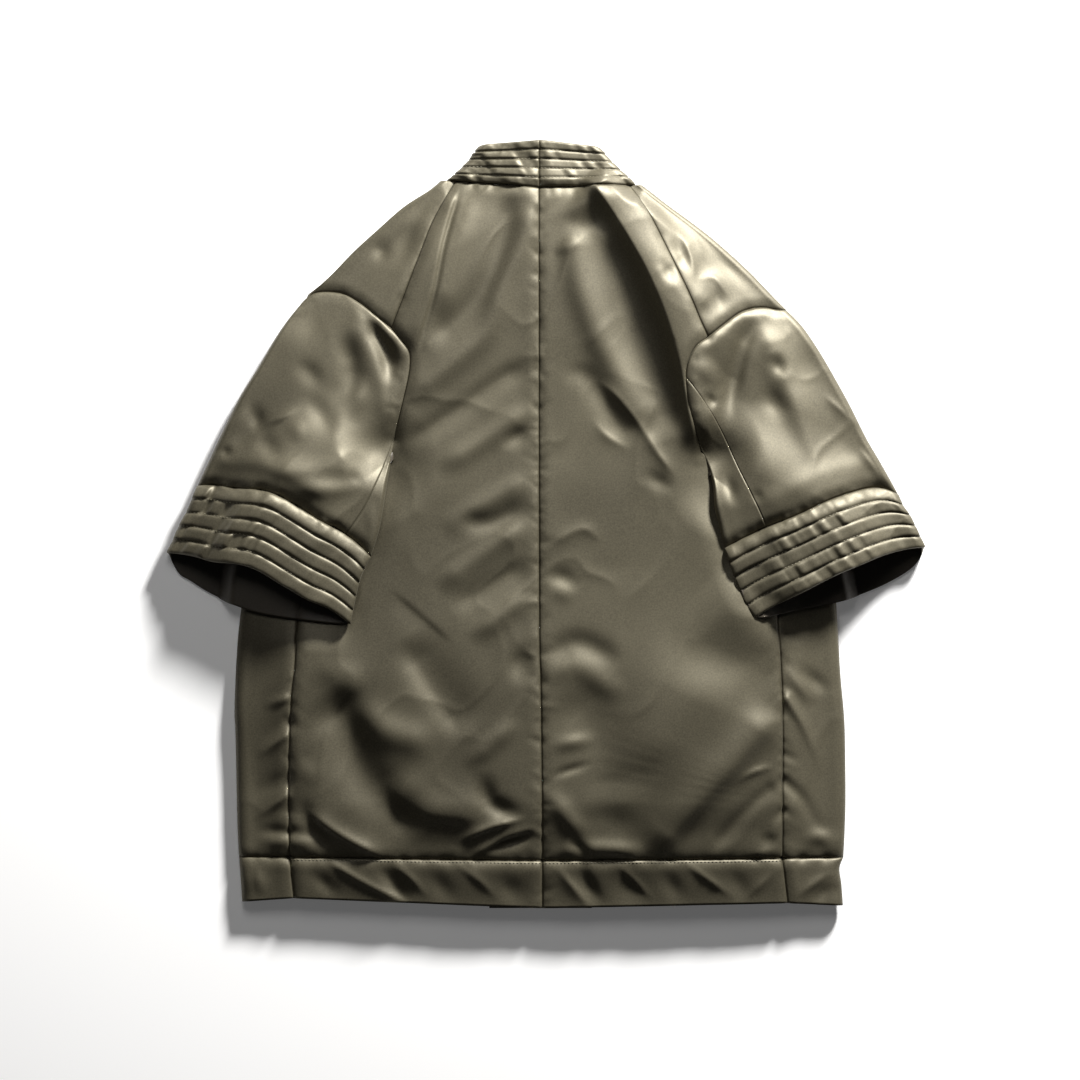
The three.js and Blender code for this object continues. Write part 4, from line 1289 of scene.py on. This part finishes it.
@dataclass
class ClothPiece:
    """One cut piece of padded cloth: a grid bent into its laid shape and given thickness."""

    LEAST_CELLS = 4
    WELD = 1e-6

    name: str
    slot: Slot
    cut: Cut
    section: Section
    downs: tuple[float, float]
    step: float = GRID_STEP
    tube: bool = False
    face_down: bool = False
    bands: int = 1

    def build(self) -> bpy.types.Object:
        """Returns:
            The finished object.
        """
        bm = bmesh.new()
        columns = max(self.LEAST_CELLS, round(self.cut.width / self.step))
        rows = max(self.LEAST_CELLS, round(self.cut.length / self.step / self.bands) * self.bands)
        bmesh.ops.create_grid(bm, x_segments=columns, y_segments=rows, size=0.5)
        shares = np.array([(vert.co.x, vert.co.y) for vert in bm.verts]) + 0.5
        down = mix(self.downs[0], self.downs[1], 1 - shares[:, 1])
        points, heights = self.section.place(shares[:, 0], down)
        self._map_uv(bm)
        for vert, place in zip(bm.verts, TABLE.place(points, heights)):
            vert.co = place
        if self.tube:
            bmesh.ops.remove_doubles(bm, verts=bm.verts, dist=self.WELD)
        self._face_outward(bm)
        return self._finish(bm)

    def _map_uv(self, bm: bmesh.types.BMesh) -> None:
        """Lay the flat grid out as the piece's own map, in metres.

        Args:
            bm: The flat grid, one unit square.
        """
        layer = bm.loops.layers.uv.new("cloth")
        width, length = self.cut.width * MM, self.cut.length * MM
        for face in bm.faces:
            for loop in face.loops:
                loop[layer].uv = (loop.vert.co.x * width, loop.vert.co.y * length)

    def _face_outward(self, bm: bmesh.types.BMesh) -> None:
        """Turn the faces so that the upper side looks up.

        Args:
            bm: The bent grid.
        """
        bm.normal_update()
        heights = [face.calc_center_median().z for face in bm.faces]
        limit = float(np.median(heights))
        upper = [face for face, height in zip(bm.faces, heights) if height >= limit]
        upward = sum(face.normal.z * face.calc_area() for face in upper)
        if (upward < 0) != self.face_down:
            bmesh.ops.reverse_faces(bm, faces=bm.faces)

    def _finish(self, bm: bmesh.types.BMesh) -> bpy.types.Object:
        """Turn the mesh into an object with its wall, finishes and declarations.

        Args:
            bm: The bent grid, faces outwards.

        Returns:
            The finished object.
        """
        piece = as_object(bm, f"{self.name}_cloth", self.name)
        outside = QUILTED if self.slot is Slot.QUILTED else SATIN
        for finish in (outside, LINING):
            piece.data.materials.append(finish.material())
        wall = piece.modifiers.new("padding", "SOLIDIFY")
        wall.thickness = CLOTH * MM
        wall.offset = -1
        wall.use_even_offset = False
        wall.material_offset = 1
        wall.material_offset_rim = 0
        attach(piece, "root")
        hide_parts(self.name)
        return piece


@dataclass
class BackPanels:
    """The two halves of the back, from neck seam to hem seam."""

    cut: Cut = Cut(260, 745, 0.69)

    def build(self, side: JacketSide) -> list[bpy.types.Object]:
        """Build one half.

        Args:
            side: The side of the jacket.

        Returns:
            The back panel.
        """
        seam = side.panel_seam
        first, last = seam.points[0, 1], seam.points[-1, 1]

        def centre(down: Values) -> Points:
            """Return the centre seam's points beside the panel seam's."""
            return CENTRE.at_down(mix(NECK_DOWN, HEM_SEAM_DOWN, (down - first) / (last - first)))

        plan, width = ruled(seam.at_down, centre)
        section = Section(plan, width, FORM.body_top, on_table, 0.0, ACROSS_TOP)
        piece = ClothPiece(f"back_{side.tag}", Slot.SATIN, self.cut, section, (first, last))
        return [piece.build()]


@dataclass
class SidePanels:
    """The side panels, from the back side seam round the edge to the front."""

    fold: float = 13.0
    flat: float = 42.0
    turn: float = 30.0
    cut: Cut = Cut(134, 455, 0.8)

    def build(self, side: JacketSide) -> list[bpy.types.Object]:
        """Build one side panel.

        Args:
            side: The side of the jacket.

        Returns:
            The side panel.
        """
        seam = side["body_seam"]
        plan, width = ruled(side["body_edge"].at_down, seam.at_down)
        runs = wrapped_runs(self.flat, self.turn)
        section = Section(plan, width, FORM.body_top, on_table, self.fold, runs)
        downs = (seam.points[0, 1], seam.points[-1, 1])
        piece = ClothPiece(f"side_{side.tag}", Slot.SATIN, self.cut, section, downs)
        return [piece.build()]


@dataclass
class Shoulders:
    """The shoulder panels, from neck to armhole and over the shoulder to the front."""

    fold: float = 9.0
    flat: float = 50.0
    turn: float = 26.0
    cut: Cut = Cut(205, 185, 0.46)

    def build(self, side: JacketSide) -> list[bpy.types.Object]:
        """Build one shoulder panel.

        Args:
            side: The side of the jacket.

        Returns:
            The shoulder panel.
        """
        edge, seam = side["shoulder_edge"], side["yoke_seam"]
        neck = Line(np.vstack((edge.points[0], seam.points[0])))

        def armhole(share: Values) -> Points:
            """Return the points along the armhole's upper part."""
            return side.armhole.at(share * side.yoke_share)

        across = patch(neck.at, armhole, edge.at, seam.at)

        def plan(down: Values, share: Values, _layer: Values) -> Points:
            """Return the points at shares down and across."""
            return across(down, share)

        def width(down: Values) -> Values:
            """Return the width of the rows."""
            return mix(neck.length, side["armhole_top"].length, down)

        runs = wrapped_runs(self.flat, self.turn)
        section = Section(plan, width, FORM.body_top, on_table, self.fold, runs)
        piece = ClothPiece(f"shoulder_{side.tag}", Slot.SATIN, self.cut, section, (0, 1))
        return [piece.build()]


@dataclass
class Fronts:
    """The fronts, their neckbands and hem bands, flat on the table."""

    front: Cut = Cut(196, 730, 0.62)
    band: Cut = Cut(51, 731, 0.92)
    hem: Cut = Cut(198, 49, 0.93)
    hem_inset: float = 1.0

    def _flat(self, name: str, slot: Slot, cut: Cut, outer: Track, inner: Track,
              downs: tuple[float, float]) -> bpy.types.Object:
        """Build one piece that lies on the table.

        Args:
            name: The piece's name.
            slot: Its material slot.
            cut: Its flat cut.
            outer: Points of its outer edge.
            inner: Points of its inner edge.
            downs: Where it starts and ends.

        Returns:
            The piece.
        """
        plan, width = ruled(outer, inner)
        section = Section(plan, width, on_table, on_table, 0.0, ACROSS_TABLE)
        piece = ClothPiece(name, slot, cut, section, downs, step=HIDDEN_STEP, face_down=True)
        return piece.build()

    def build(self, side: JacketSide) -> list[bpy.types.Object]:
        """Build one front, its band and its hem.

        Args:
            side: The side of the jacket.

        Returns:
            The three pieces.
        """
        seam, tag = side.panel_seam, side.tag
        first, last = seam.points[0, 1], seam.points[-1, 1]
        outer, inner = side["band_outer"], side["band_inner"]
        top, inner_top = outer.points[0, 1], inner.points[0, 1]
        hem_seam = side["hem_seam"]
        seam_down = hem_seam.points[0, 1]
        bottom = NECKBAND_HEM_DOWN

        def band(down: Values) -> Points:
            """Return the neckband seam's points beside the panel seam's."""
            return outer.at_down(mix(top, seam_down, (down - first) / (last - first)))

        def edge(down: Values) -> Points:
            """Return the front edge's points beside the neckband seam's."""
            return inner.at_down(mix(inner_top, bottom, (down - top) / (bottom - top)))

        def hem_band(share: Values) -> Points:
            """Return the neckband seam's points beside the hem."""
            return outer.at_down(mix(seam_down, HEM_DOWN - self.hem_inset, share))

        return [
            self._flat(f"front_{tag}", Slot.SATIN, self.front, seam.at_down, band, (first, last)),
            self._flat(f"neckband_{tag}", Slot.QUILTED, self.band, outer.at_down, edge, (top, bottom)),
            self._flat(f"hem_front_{tag}", Slot.SATIN, self.hem, hem_seam.at, hem_band, (0, 1)),
        ]


@dataclass
class HemBands:
    """The folded hem band across the back and round the sides."""

    fold: float = 13.0
    flat: float = 42.0
    turn: float = 30.0
    sewn_at: float = 0.045
    back: Cut = Cut(260, 48, 0.93)
    corner: Cut = Cut(120, 47, 0.93)

    def build(self, side: JacketSide) -> list[bpy.types.Object]:
        """Build one side's hem.

        Args:
            side: The side of the jacket.

        Returns:
            The band across the back, the band round the side, and the stitches.
        """
        seam, edge = side["hem_seam"], side["hem_edge"]

        def centre(share: Values) -> Points:
            """Return the centre seam's points down the band."""
            return CENTRE.at_down(mix(HEM_SEAM_DOWN, HEM_DOWN, share))

        plan, width = ruled(seam.at, centre)
        across = Section(plan, width, FORM.body_top, on_table, 0.0, ACROSS_TOP)
        back = ClothPiece(f"hem_back_{side.tag}", Slot.SATIN, self.back, across, (0, 1))
        plan, width = ruled(edge.at, seam.at)
        runs = wrapped_runs(self.flat, self.turn)
        turned = Section(plan, width, FORM.body_top, on_table, self.fold, runs)
        corner = ClothPiece(f"hem_side_{side.tag}", Slot.SATIN, self.corner, turned, (0, 1))
        sewn = StitchRow(f"hem_stitches_{side.tag}", Slot.SATIN)
        sewn.follow(across, self.sewn_at)
        return [back.build(), corner.build(), sewn.build()]


@dataclass
class QuiltedRib:
    """The puffed profile between quilting lines, uneven along each rib."""

    FLATNESS = 4.2
    STEEPNESS = 0.62
    LUMP_SLANT = 7
    LUMP_APART = (50, 11)
    PUCKER_SLANT = 3
    PUCKER_APART = (7, 9.0)
    PUCKER_SPACING = 7.0
    LEAST_PUCKER = 0.25

    rise: float
    seed: int
    unevenness: float = 0.35
    spacing: float = 16.0
    pucker: float = 0.5
    puckered: tuple[float, float] = (-100.0, 1000.0)
    puckered_over: float = 40.0
    drag: float = 0.0
    drag_lean: float = 60.0
    drag_spacing: float = 8.0

    def height(self, down: Values, along: Values) -> Values:
        """Raise a band of ribs.

        Args:
            down: Share of the band's height, through all its ribs.
            along: Distance along the ribs, in millimetres.

        Returns:
            Height above the band's base.
        """
        place = np.clip(down, 0, 1) * RIB_COUNT
        rib = np.minimum(np.floor(place), RIB_COUNT - 1)
        local = place - rib
        profile = (1 - np.abs(2 * local - 1) ** self.FLATNESS) ** self.STEEPNESS
        apart, shift = self.LUMP_APART
        slanted = np.column_stack((along + local * self.LUMP_SLANT, rib * apart + self.seed * shift))
        lumps = soft_noise(slanted, self.spacing, self.seed)
        apart, shift = self.PUCKER_APART
        spots = np.column_stack((along + local * self.PUCKER_SLANT, shift * self.seed + rib * apart))
        puffs = soft_noise(spots, self.PUCKER_SPACING, self.seed + 1)
        pucker = self.pucker * self._gathered(along) * puffs
        streaks = np.column_stack((along + self.drag_lean * down, down * 2 * self.drag_spacing))
        drag = self.drag * soft_noise(streaks, self.drag_spacing, self.seed + 2)
        return (self.rise * (1 + self.unevenness * lumps) + pucker + drag) * profile

    def _gathered(self, along: Values) -> Values:
        """Find how strongly the ribs are puckered.

        Args:
            along: Distances along the ribs, in millimetres.

        Returns:
            A share for each distance.
        """
        first, last = self.puckered
        grows = ease((along - first) / self.puckered_over + 1)
        dies = ease((last - along) / self.puckered_over + 1)
        return mix(self.LEAST_PUCKER, 1.0, grows * dies)


@dataclass
class StitchRow:
    """Thread stitches along lines on the cloth's upper face, joined into one mesh."""

    LONG = 2.3
    THICK = 0.7
    GAP = 1.5
    RAISED = 0.4
    SAMPLES = 900

    name: str
    slot: Slot
    runs: list[np.ndarray] = field(default_factory=list)

    def follow(self, section: Section, down: float) -> None:
        """Add a sewn line across a piece's section at one place down it."""
        across = np.linspace(0.0, 1.0, self.SAMPLES)
        self.runs.append(np.column_stack(section.place(across, np.full(self.SAMPLES, down))))

    def build(self) -> bpy.types.Object:
        """Make the stitches.

        Returns:
            The joined stitches.
        """
        ball = self._ball()
        bm = bmesh.new()
        for run in self.runs:
            lengths = np.concatenate(([0.0], np.cumsum(np.linalg.norm(np.diff(run, axis=0), axis=1))))
            starts = np.arange(self.GAP, lengths[-1] - self.LONG, self.LONG + self.GAP)
            first, last = (self._at(run, lengths, starts + offset) for offset in (0.0, self.LONG))
            for a, b in zip(first, last):
                place = self._stitch(Vector(a), Vector(b))
                ball.transform(place)
                bm.from_mesh(ball)
                ball.transform(place.inverted())
        bpy.data.meshes.remove(ball)
        thread = as_object(bm, self.name, self.name)
        thread.data.materials.append(THREAD.material())
        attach(thread, "root")
        return thread

    def _at(self, run: np.ndarray, lengths: Values, wanted: Values) -> np.ndarray:
        """Find places in the model's frame along a run.

        Args:
            run: Rows of across, down and height.
            lengths: Length along the run at each row.
            wanted: Lengths to find.

        Returns:
            Rows of x, y and z.
        """
        columns = [np.interp(wanted, lengths, run[:, axis]) for axis in range(3)]
        return TABLE.place(np.column_stack(columns[:2]), columns[2] + self.RAISED)

    def _ball(self) -> bpy.types.Mesh:
        """Make the small ball that each stitch is drawn out of.

        Returns:
            The ball's mesh, one unit across.
        """
        bm = bmesh.new()
        bmesh.ops.create_uvsphere(bm, u_segments=6, v_segments=4, radius=0.5)
        ball = bpy.data.meshes.new("ball")
        bm.to_mesh(ball)
        bm.free()
        return ball

    def _stitch(self, start: Vector, end: Vector) -> Matrix:
        """Work out the placing that draws the ball out into one stitch.

        Args:
            start: Where the stitch leaves the cloth.
            end: Where it goes back in.

        Returns:
            The placing.
        """
        run = end - start
        turned = run.to_track_quat("X", "Z").to_matrix().to_4x4()
        size = Matrix.Diagonal((run.length, self.THICK * MM, self.THICK * MM, 1))
        return Matrix.Translation((start + end) / 2) @ turned @ size


def quilting_stitches(name: str, section: Section) -> bpy.types.Object:
    """Sew along the valleys between a quilted band's ribs.

    Args:
        name: The stitches' name.
        section: The band's cross-section, whose ribs run across its rows.

    Returns:
        The joined stitches.
    """
    row = StitchRow(name, Slot.QUILTED)
    for line in range(1, RIB_COUNT):
        row.follow(section, line / RIB_COUNT)
    return row.build()


def ribbed(rib: QuiltedRib, width: Measure) -> Rise:
    """Measure a band's ribs along its rows.

    Args:
        rib: The ribs.
        width: Width of the rows.

    Returns:
        A function from places down and shares across to the ribs' height.
    """
    def rise(down: Values, share: Values) -> Values:
        """Return the ribs' height."""
        return rib.height(down, share * width(down))

    return rise


@dataclass
class Collars:
    """The quilted neckband round the back of the neck, turned under at its slanted ends."""

    fold: float = 8.0
    flat: float = 70.0
    turn: float = 26.0
    under: float = 26.0
    step: float = 1.6
    cut: Cut = Cut(120, 64, 0.79)
    ribs: dict[str, QuiltedRib] = field(default_factory=lambda: {
        "left": QuiltedRib(1.9, 51, pucker=0.6, drag=1.9),
        "right": QuiltedRib(1.9, 52, pucker=0.8),
    })

    def build(self, side: JacketSide) -> list[bpy.types.Object]:
        """Build one half of the collar.

        Args:
            side: The side of the jacket.

        Returns:
            The collar and its stitches.
        """
        slope, end = side["collar_fold"], side["collar_end"]

        def centre(down: Values) -> Points:
            """Return the centre seam's points up the collar."""
            return CENTRE.at_down(mix(NECK_DOWN, CENTRE_SEAM[0][1], down))

        above, width = ruled(slope.at, centre)

        def plan(down: Values, share: Values, layer: Values) -> Points:
            """Place the points above, or on the end that is turned under.

            Args:
                down: Shares down the piece.
                share: Shares across it.
                layer: 0 on the under face to 1 on the upper face.

            Returns:
                Points on the table.
            """
            turned = np.minimum(self.fold / width(down), 1)
            under = above(down, turned, layer)
            below = mix(under, end.at(down), ((share - turned) / (1 - turned))[:, None])
            flat = (layer > 0) | (share <= turned + ROUNDING)
            return np.where(flat[:, None], above(down, share, layer), below)

        runs = (
            Stretch(Run.TOP, 1, 0, self.flat),
            Stretch(Run.OUTER_FOLD, 1, -1, self.turn),
            Stretch(Run.LOW, 0, 1, self.under),
        )
        section = Section(plan, width, FORM.body_top, on_table, self.fold, runs,
                          rib=ribbed(self.ribs[side.tag], width))
        piece = ClothPiece(f"collar_{side.tag}", Slot.QUILTED, self.cut, section, (0, 1), step=self.step,
                           bands=RIB_COUNT)
        return [piece.build(), quilting_stitches(f"collar_stitches_{side.tag}", section)]


@dataclass(frozen=True)
class Underarm:
    """The underarm seam's distances from the sleeve's inner edge, and the cuts beside it."""

    at_armpit: float
    at_cuff: float
    sleeve: Cut
    undersleeve: Cut


@dataclass
class Sleeves:
    """A sleeve with its undersleeve and quilted cuff, as one flattened tube cut at the underarm."""

    fold: float = 9.0
    turn: float = 26.0
    width: float = 177.0
    cuff_half: float = 180.0
    cuff_end: float = 10.0
    cuff_step: float = 1.7
    cuff: Cut = Cut(436, 112, 0.77)
    ribs: dict[str, QuiltedRib] = field(default_factory=lambda: {
        "left": QuiltedRib(2.1, 61, pucker=3.0, puckered=(0.0, 62.0)),
        "right": QuiltedRib(2.1, 62, pucker=1.7, puckered=(70.0, 190.0)),
    })
    underarms: dict[str, Underarm] = field(default_factory=lambda: {
        "left": Underarm(16.0, 33.0, Cut(420, 222, 0.71), Cut(66, 127, 0.51)),
        "right": Underarm(76.0, 46.0, Cut(370, 222, 0.71), Cut(150, 160, 0.6)),
    })

    def _section(self, side: JacketSide, plan: Plan, width: Measure, seam: Measure, runs: Runs,
                 rib: Rise | None = None) -> Section:
        """Cut the sleeve's tube across.

        Args:
            side: The side of the jacket.
            plan: Where the tube's points lie.
            width: Width of its rows.
            seam: The underarm seam's distance from the inner edge of each row.
            runs: The stretches of the piece.
            rib: Height of its ribs, if it has any.

        Returns:
            The section.
        """
        def top(points: Points) -> Values:
            """Return the height of the upper face."""
            return FORM.sleeve_top(side, points)

        def low(points: Points) -> Values:
            """Return the height of the under face."""
            return FORM.sleeve_low(side, points)

        def split(down: Values) -> Values:
            """Return the shares across where the underarm seam runs."""
            return 1 - seam(down) / width(down)

        return Section(plan, width, top, low, self.fold, runs, rib=rib, split=split, folds_inside=True)

    def build(self, side: JacketSide) -> list[bpy.types.Object]:
        """Build one sleeve, undersleeve and cuff.

        Args:
            side: The side of the jacket.

        Returns:
            The three pieces and the cuff's stitches.
        """
        underarm, cuff_seam = self.underarms[side.tag], side["cuff_seam"]
        across = patch(side.armhole.at, cuff_seam.at, side["outer_sleeve"].at, side["inner_sleeve"].at)

        def plan(down: Values, share: Values, _layer: Values) -> Points:
            """Return the points at shares down and across."""
            return across(down, share)

        def width(down: Values) -> Values:
            """Return the width of the rows."""
            return mix(side.armhole.length, cuff_seam.length, down)

        def seam(down: Values) -> Values:
            """Return the underarm seam's distance from the inner edge."""
            return mix(underarm.at_armpit, underarm.at_cuff, down)

        narrow = (underarm.at_armpit + underarm.at_cuff) / 2 - self.fold
        wide = self.width - narrow
        outer_runs = (
            Stretch(Run.LOW, 1, 0, wide),
            Stretch(Run.OUTER_FOLD, -1, 1, self.turn),
            Stretch(Run.TOP, 0, 1, wide),
        )
        sections = [self._section(side, plan, width, seam, runs)
                    for runs in (outer_runs, self._inner_runs(narrow))]
        sleeve = ClothPiece(f"sleeve_{side.tag}", Slot.SATIN, underarm.sleeve, sections[0], (0, 1))
        under = ClothPiece(f"undersleeve_{side.tag}", Slot.SATIN, underarm.undersleeve, sections[1],
                           (0, 1))
        return [sleeve.build(), under.build(), *self._cuff(side)]

    def _inner_runs(self, flat: float) -> Runs:
        """Return the stretches that turn round the tube's inner edge."""
        return (Stretch(Run.TOP, 1, 2, flat), Stretch(Run.INNER_FOLD, 1, -1, self.turn),
                Stretch(Run.LOW, 2, 1, flat))

    def _cuff(self, side: JacketSide) -> list[bpy.types.Object]:
        """Build the quilted cuff and its stitches.

        Args:
            side: The side of the jacket.

        Returns:
            The cuff and its stitches.
        """
        underarm, cuff_seam = self.underarms[side.tag], side["cuff_seam"]
        lower, upper = (
            patch(cuff_seam.at, side[hem].at, side["cuff_outer"].at, side["cuff_inner"].at)
            for hem in ("cuff_hem_lower", "cuff_hem_upper")
        )

        def plan(down: Values, share: Values, layer: Values) -> Points:
            """Return the points of the cuff's upper or under face."""
            return mix(lower(down, share), upper(down, share), layer[:, None])

        def width(down: Values) -> Values:
            """Return the width of the rows."""
            return mix(cuff_seam.length, side["cuff_hem_upper"].length, down)

        def seam(down: Values) -> Values:
            """Return the underarm seam's distance from the inner edge."""
            return np.full(len(down), underarm.at_cuff)

        runs = (
            Stretch(Run.LOW, 1, 0, self.cuff_half),
            Stretch(Run.OUTER_FOLD, -1, 1, self.turn),
            Stretch(Run.TOP, 0, 1, self.cuff_half),
            *self._inner_runs(self.cuff_end),
        )
        section = self._section(side, plan, width, seam, runs, rib=ribbed(self.ribs[side.tag], width))
        piece = ClothPiece(f"cuff_{side.tag}", Slot.QUILTED, self.cuff, section, (0, 1),
                           step=self.cuff_step, tube=True, bands=RIB_COUNT)
        return [piece.build(), quilting_stitches(f"cuff_stitches_{side.tag}", section)]


@dataclass(frozen=True)
class Lamp:
    """A round soft light: its place and width in metres, and its power in watts."""

    name: str
    place: tuple[float, float, float]
    size: float
    power: float


@dataclass
class Studio:
    """The pale floor, soft lights and overhead camera."""

    photo_middle: tuple[float, float] = (-0.006, -0.0155)
    photo_width: float = 1.080
    lens: float = 110.0
    sensor: float = 36.0
    cloth_level: float = 0.025
    floor_half: float = 6.0
    floor_white: float = 0.92
    floor_roughness: float = 0.9
    floor_gloss: float = 0.1
    floor_glow: float = 0.09
    lamps: tuple[Lamp, ...] = (
        Lamp("key", (1.05, 2.0, 0.92), 0.42, 243),
        Lamp("overhead", (-0.3, 0.8, 1.2), 0.7, 4.5),
    )
    lamp_aim: tuple[float, float, float] = (0, 0.1, 0)
    lamp_colour: tuple[float, float, float] = (1.0, 0.99, 0.975)
    surround: Colour = (0.97, 0.98, 1.0, 1)
    surround_strength: float = 0.025

    def floor(self) -> None:
        """Lay the floor."""
        bm = bmesh.new()
        bmesh.ops.create_grid(bm, x_segments=1, y_segments=1, size=self.floor_half)
        floor = as_object(bm, "floor", "floor")
        material = bpy.data.materials.new("pale_floor")
        material.use_nodes = True
        shader = material.node_tree.nodes["Principled BSDF"]
        shader.inputs["Base Color"].default_value = (*(self.floor_white,) * 3, 1)
        shader.inputs["Roughness"].default_value = self.floor_roughness
        shader.inputs["Specular IOR Level"].default_value = self.floor_gloss
        shader.inputs["Emission Color"].default_value = (1, 1, 1, 1)
        shader.inputs["Emission Strength"].default_value = self.floor_glow
        floor.data.materials.append(material)

    def _hang(self, lamp: Lamp) -> None:
        """Hang one soft area light.

        Args:
            lamp: The light.
        """
        light = bpy.data.lights.new(lamp.name, "AREA")
        light.shape = "DISK"
        light.size = lamp.size
        light.energy = lamp.power
        light.color = self.lamp_colour
        hung = bpy.data.objects.new(lamp.name, light)
        place = Vector(lamp.place)
        hung.location = place
        hung.rotation_euler = (Vector(self.lamp_aim) - place).to_track_quat("-Z", "Y").to_euler()
        bpy.context.scene.collection.objects.link(hung)

    def lights(self) -> None:
        """Set the key light beyond the right shoulder, a soft overhead and a pale surround."""
        for lamp in self.lamps:
            self._hang(lamp)
        world = bpy.data.worlds.new("studio")
        world.use_nodes = True
        background = world.node_tree.nodes["Background"]
        background.inputs["Color"].default_value = self.surround
        background.inputs["Strength"].default_value = self.surround_strength
        bpy.context.scene.world = world
        bpy.context.scene.view_settings.view_transform = "Standard"

    def camera(self) -> None:
        """Look straight down on the jacket, framed as photographed."""
        lens = bpy.data.cameras.new("overhead_camera")
        lens.lens = self.lens
        lens.sensor_width = self.sensor
        camera = bpy.data.objects.new("overhead_camera", lens)
        rise = self.photo_width * self.lens / self.sensor
        camera.location = (*self.photo_middle, rise + self.cloth_level)
        bpy.context.scene.collection.objects.link(camera)
        bpy.context.scene.camera = camera


def main() -> None:
    """Build the studio, then the jacket piece by piece."""
    logging.basicConfig(level=logging.INFO, format="%(message)s")
    studio = Studio()
    studio.camera()
    studio.floor()
    studio.lights()
    makers = (BackPanels(), SidePanels(), Shoulders(), Fronts(), HemBands(), Collars(), Sleeves())
    for side in SIDES:
        for maker in makers:
            for piece in maker.build(side):
                LOG.info("%s: %d faces", piece.name, len(piece.data.polygons))


if __name__ == "__main__":
    main()
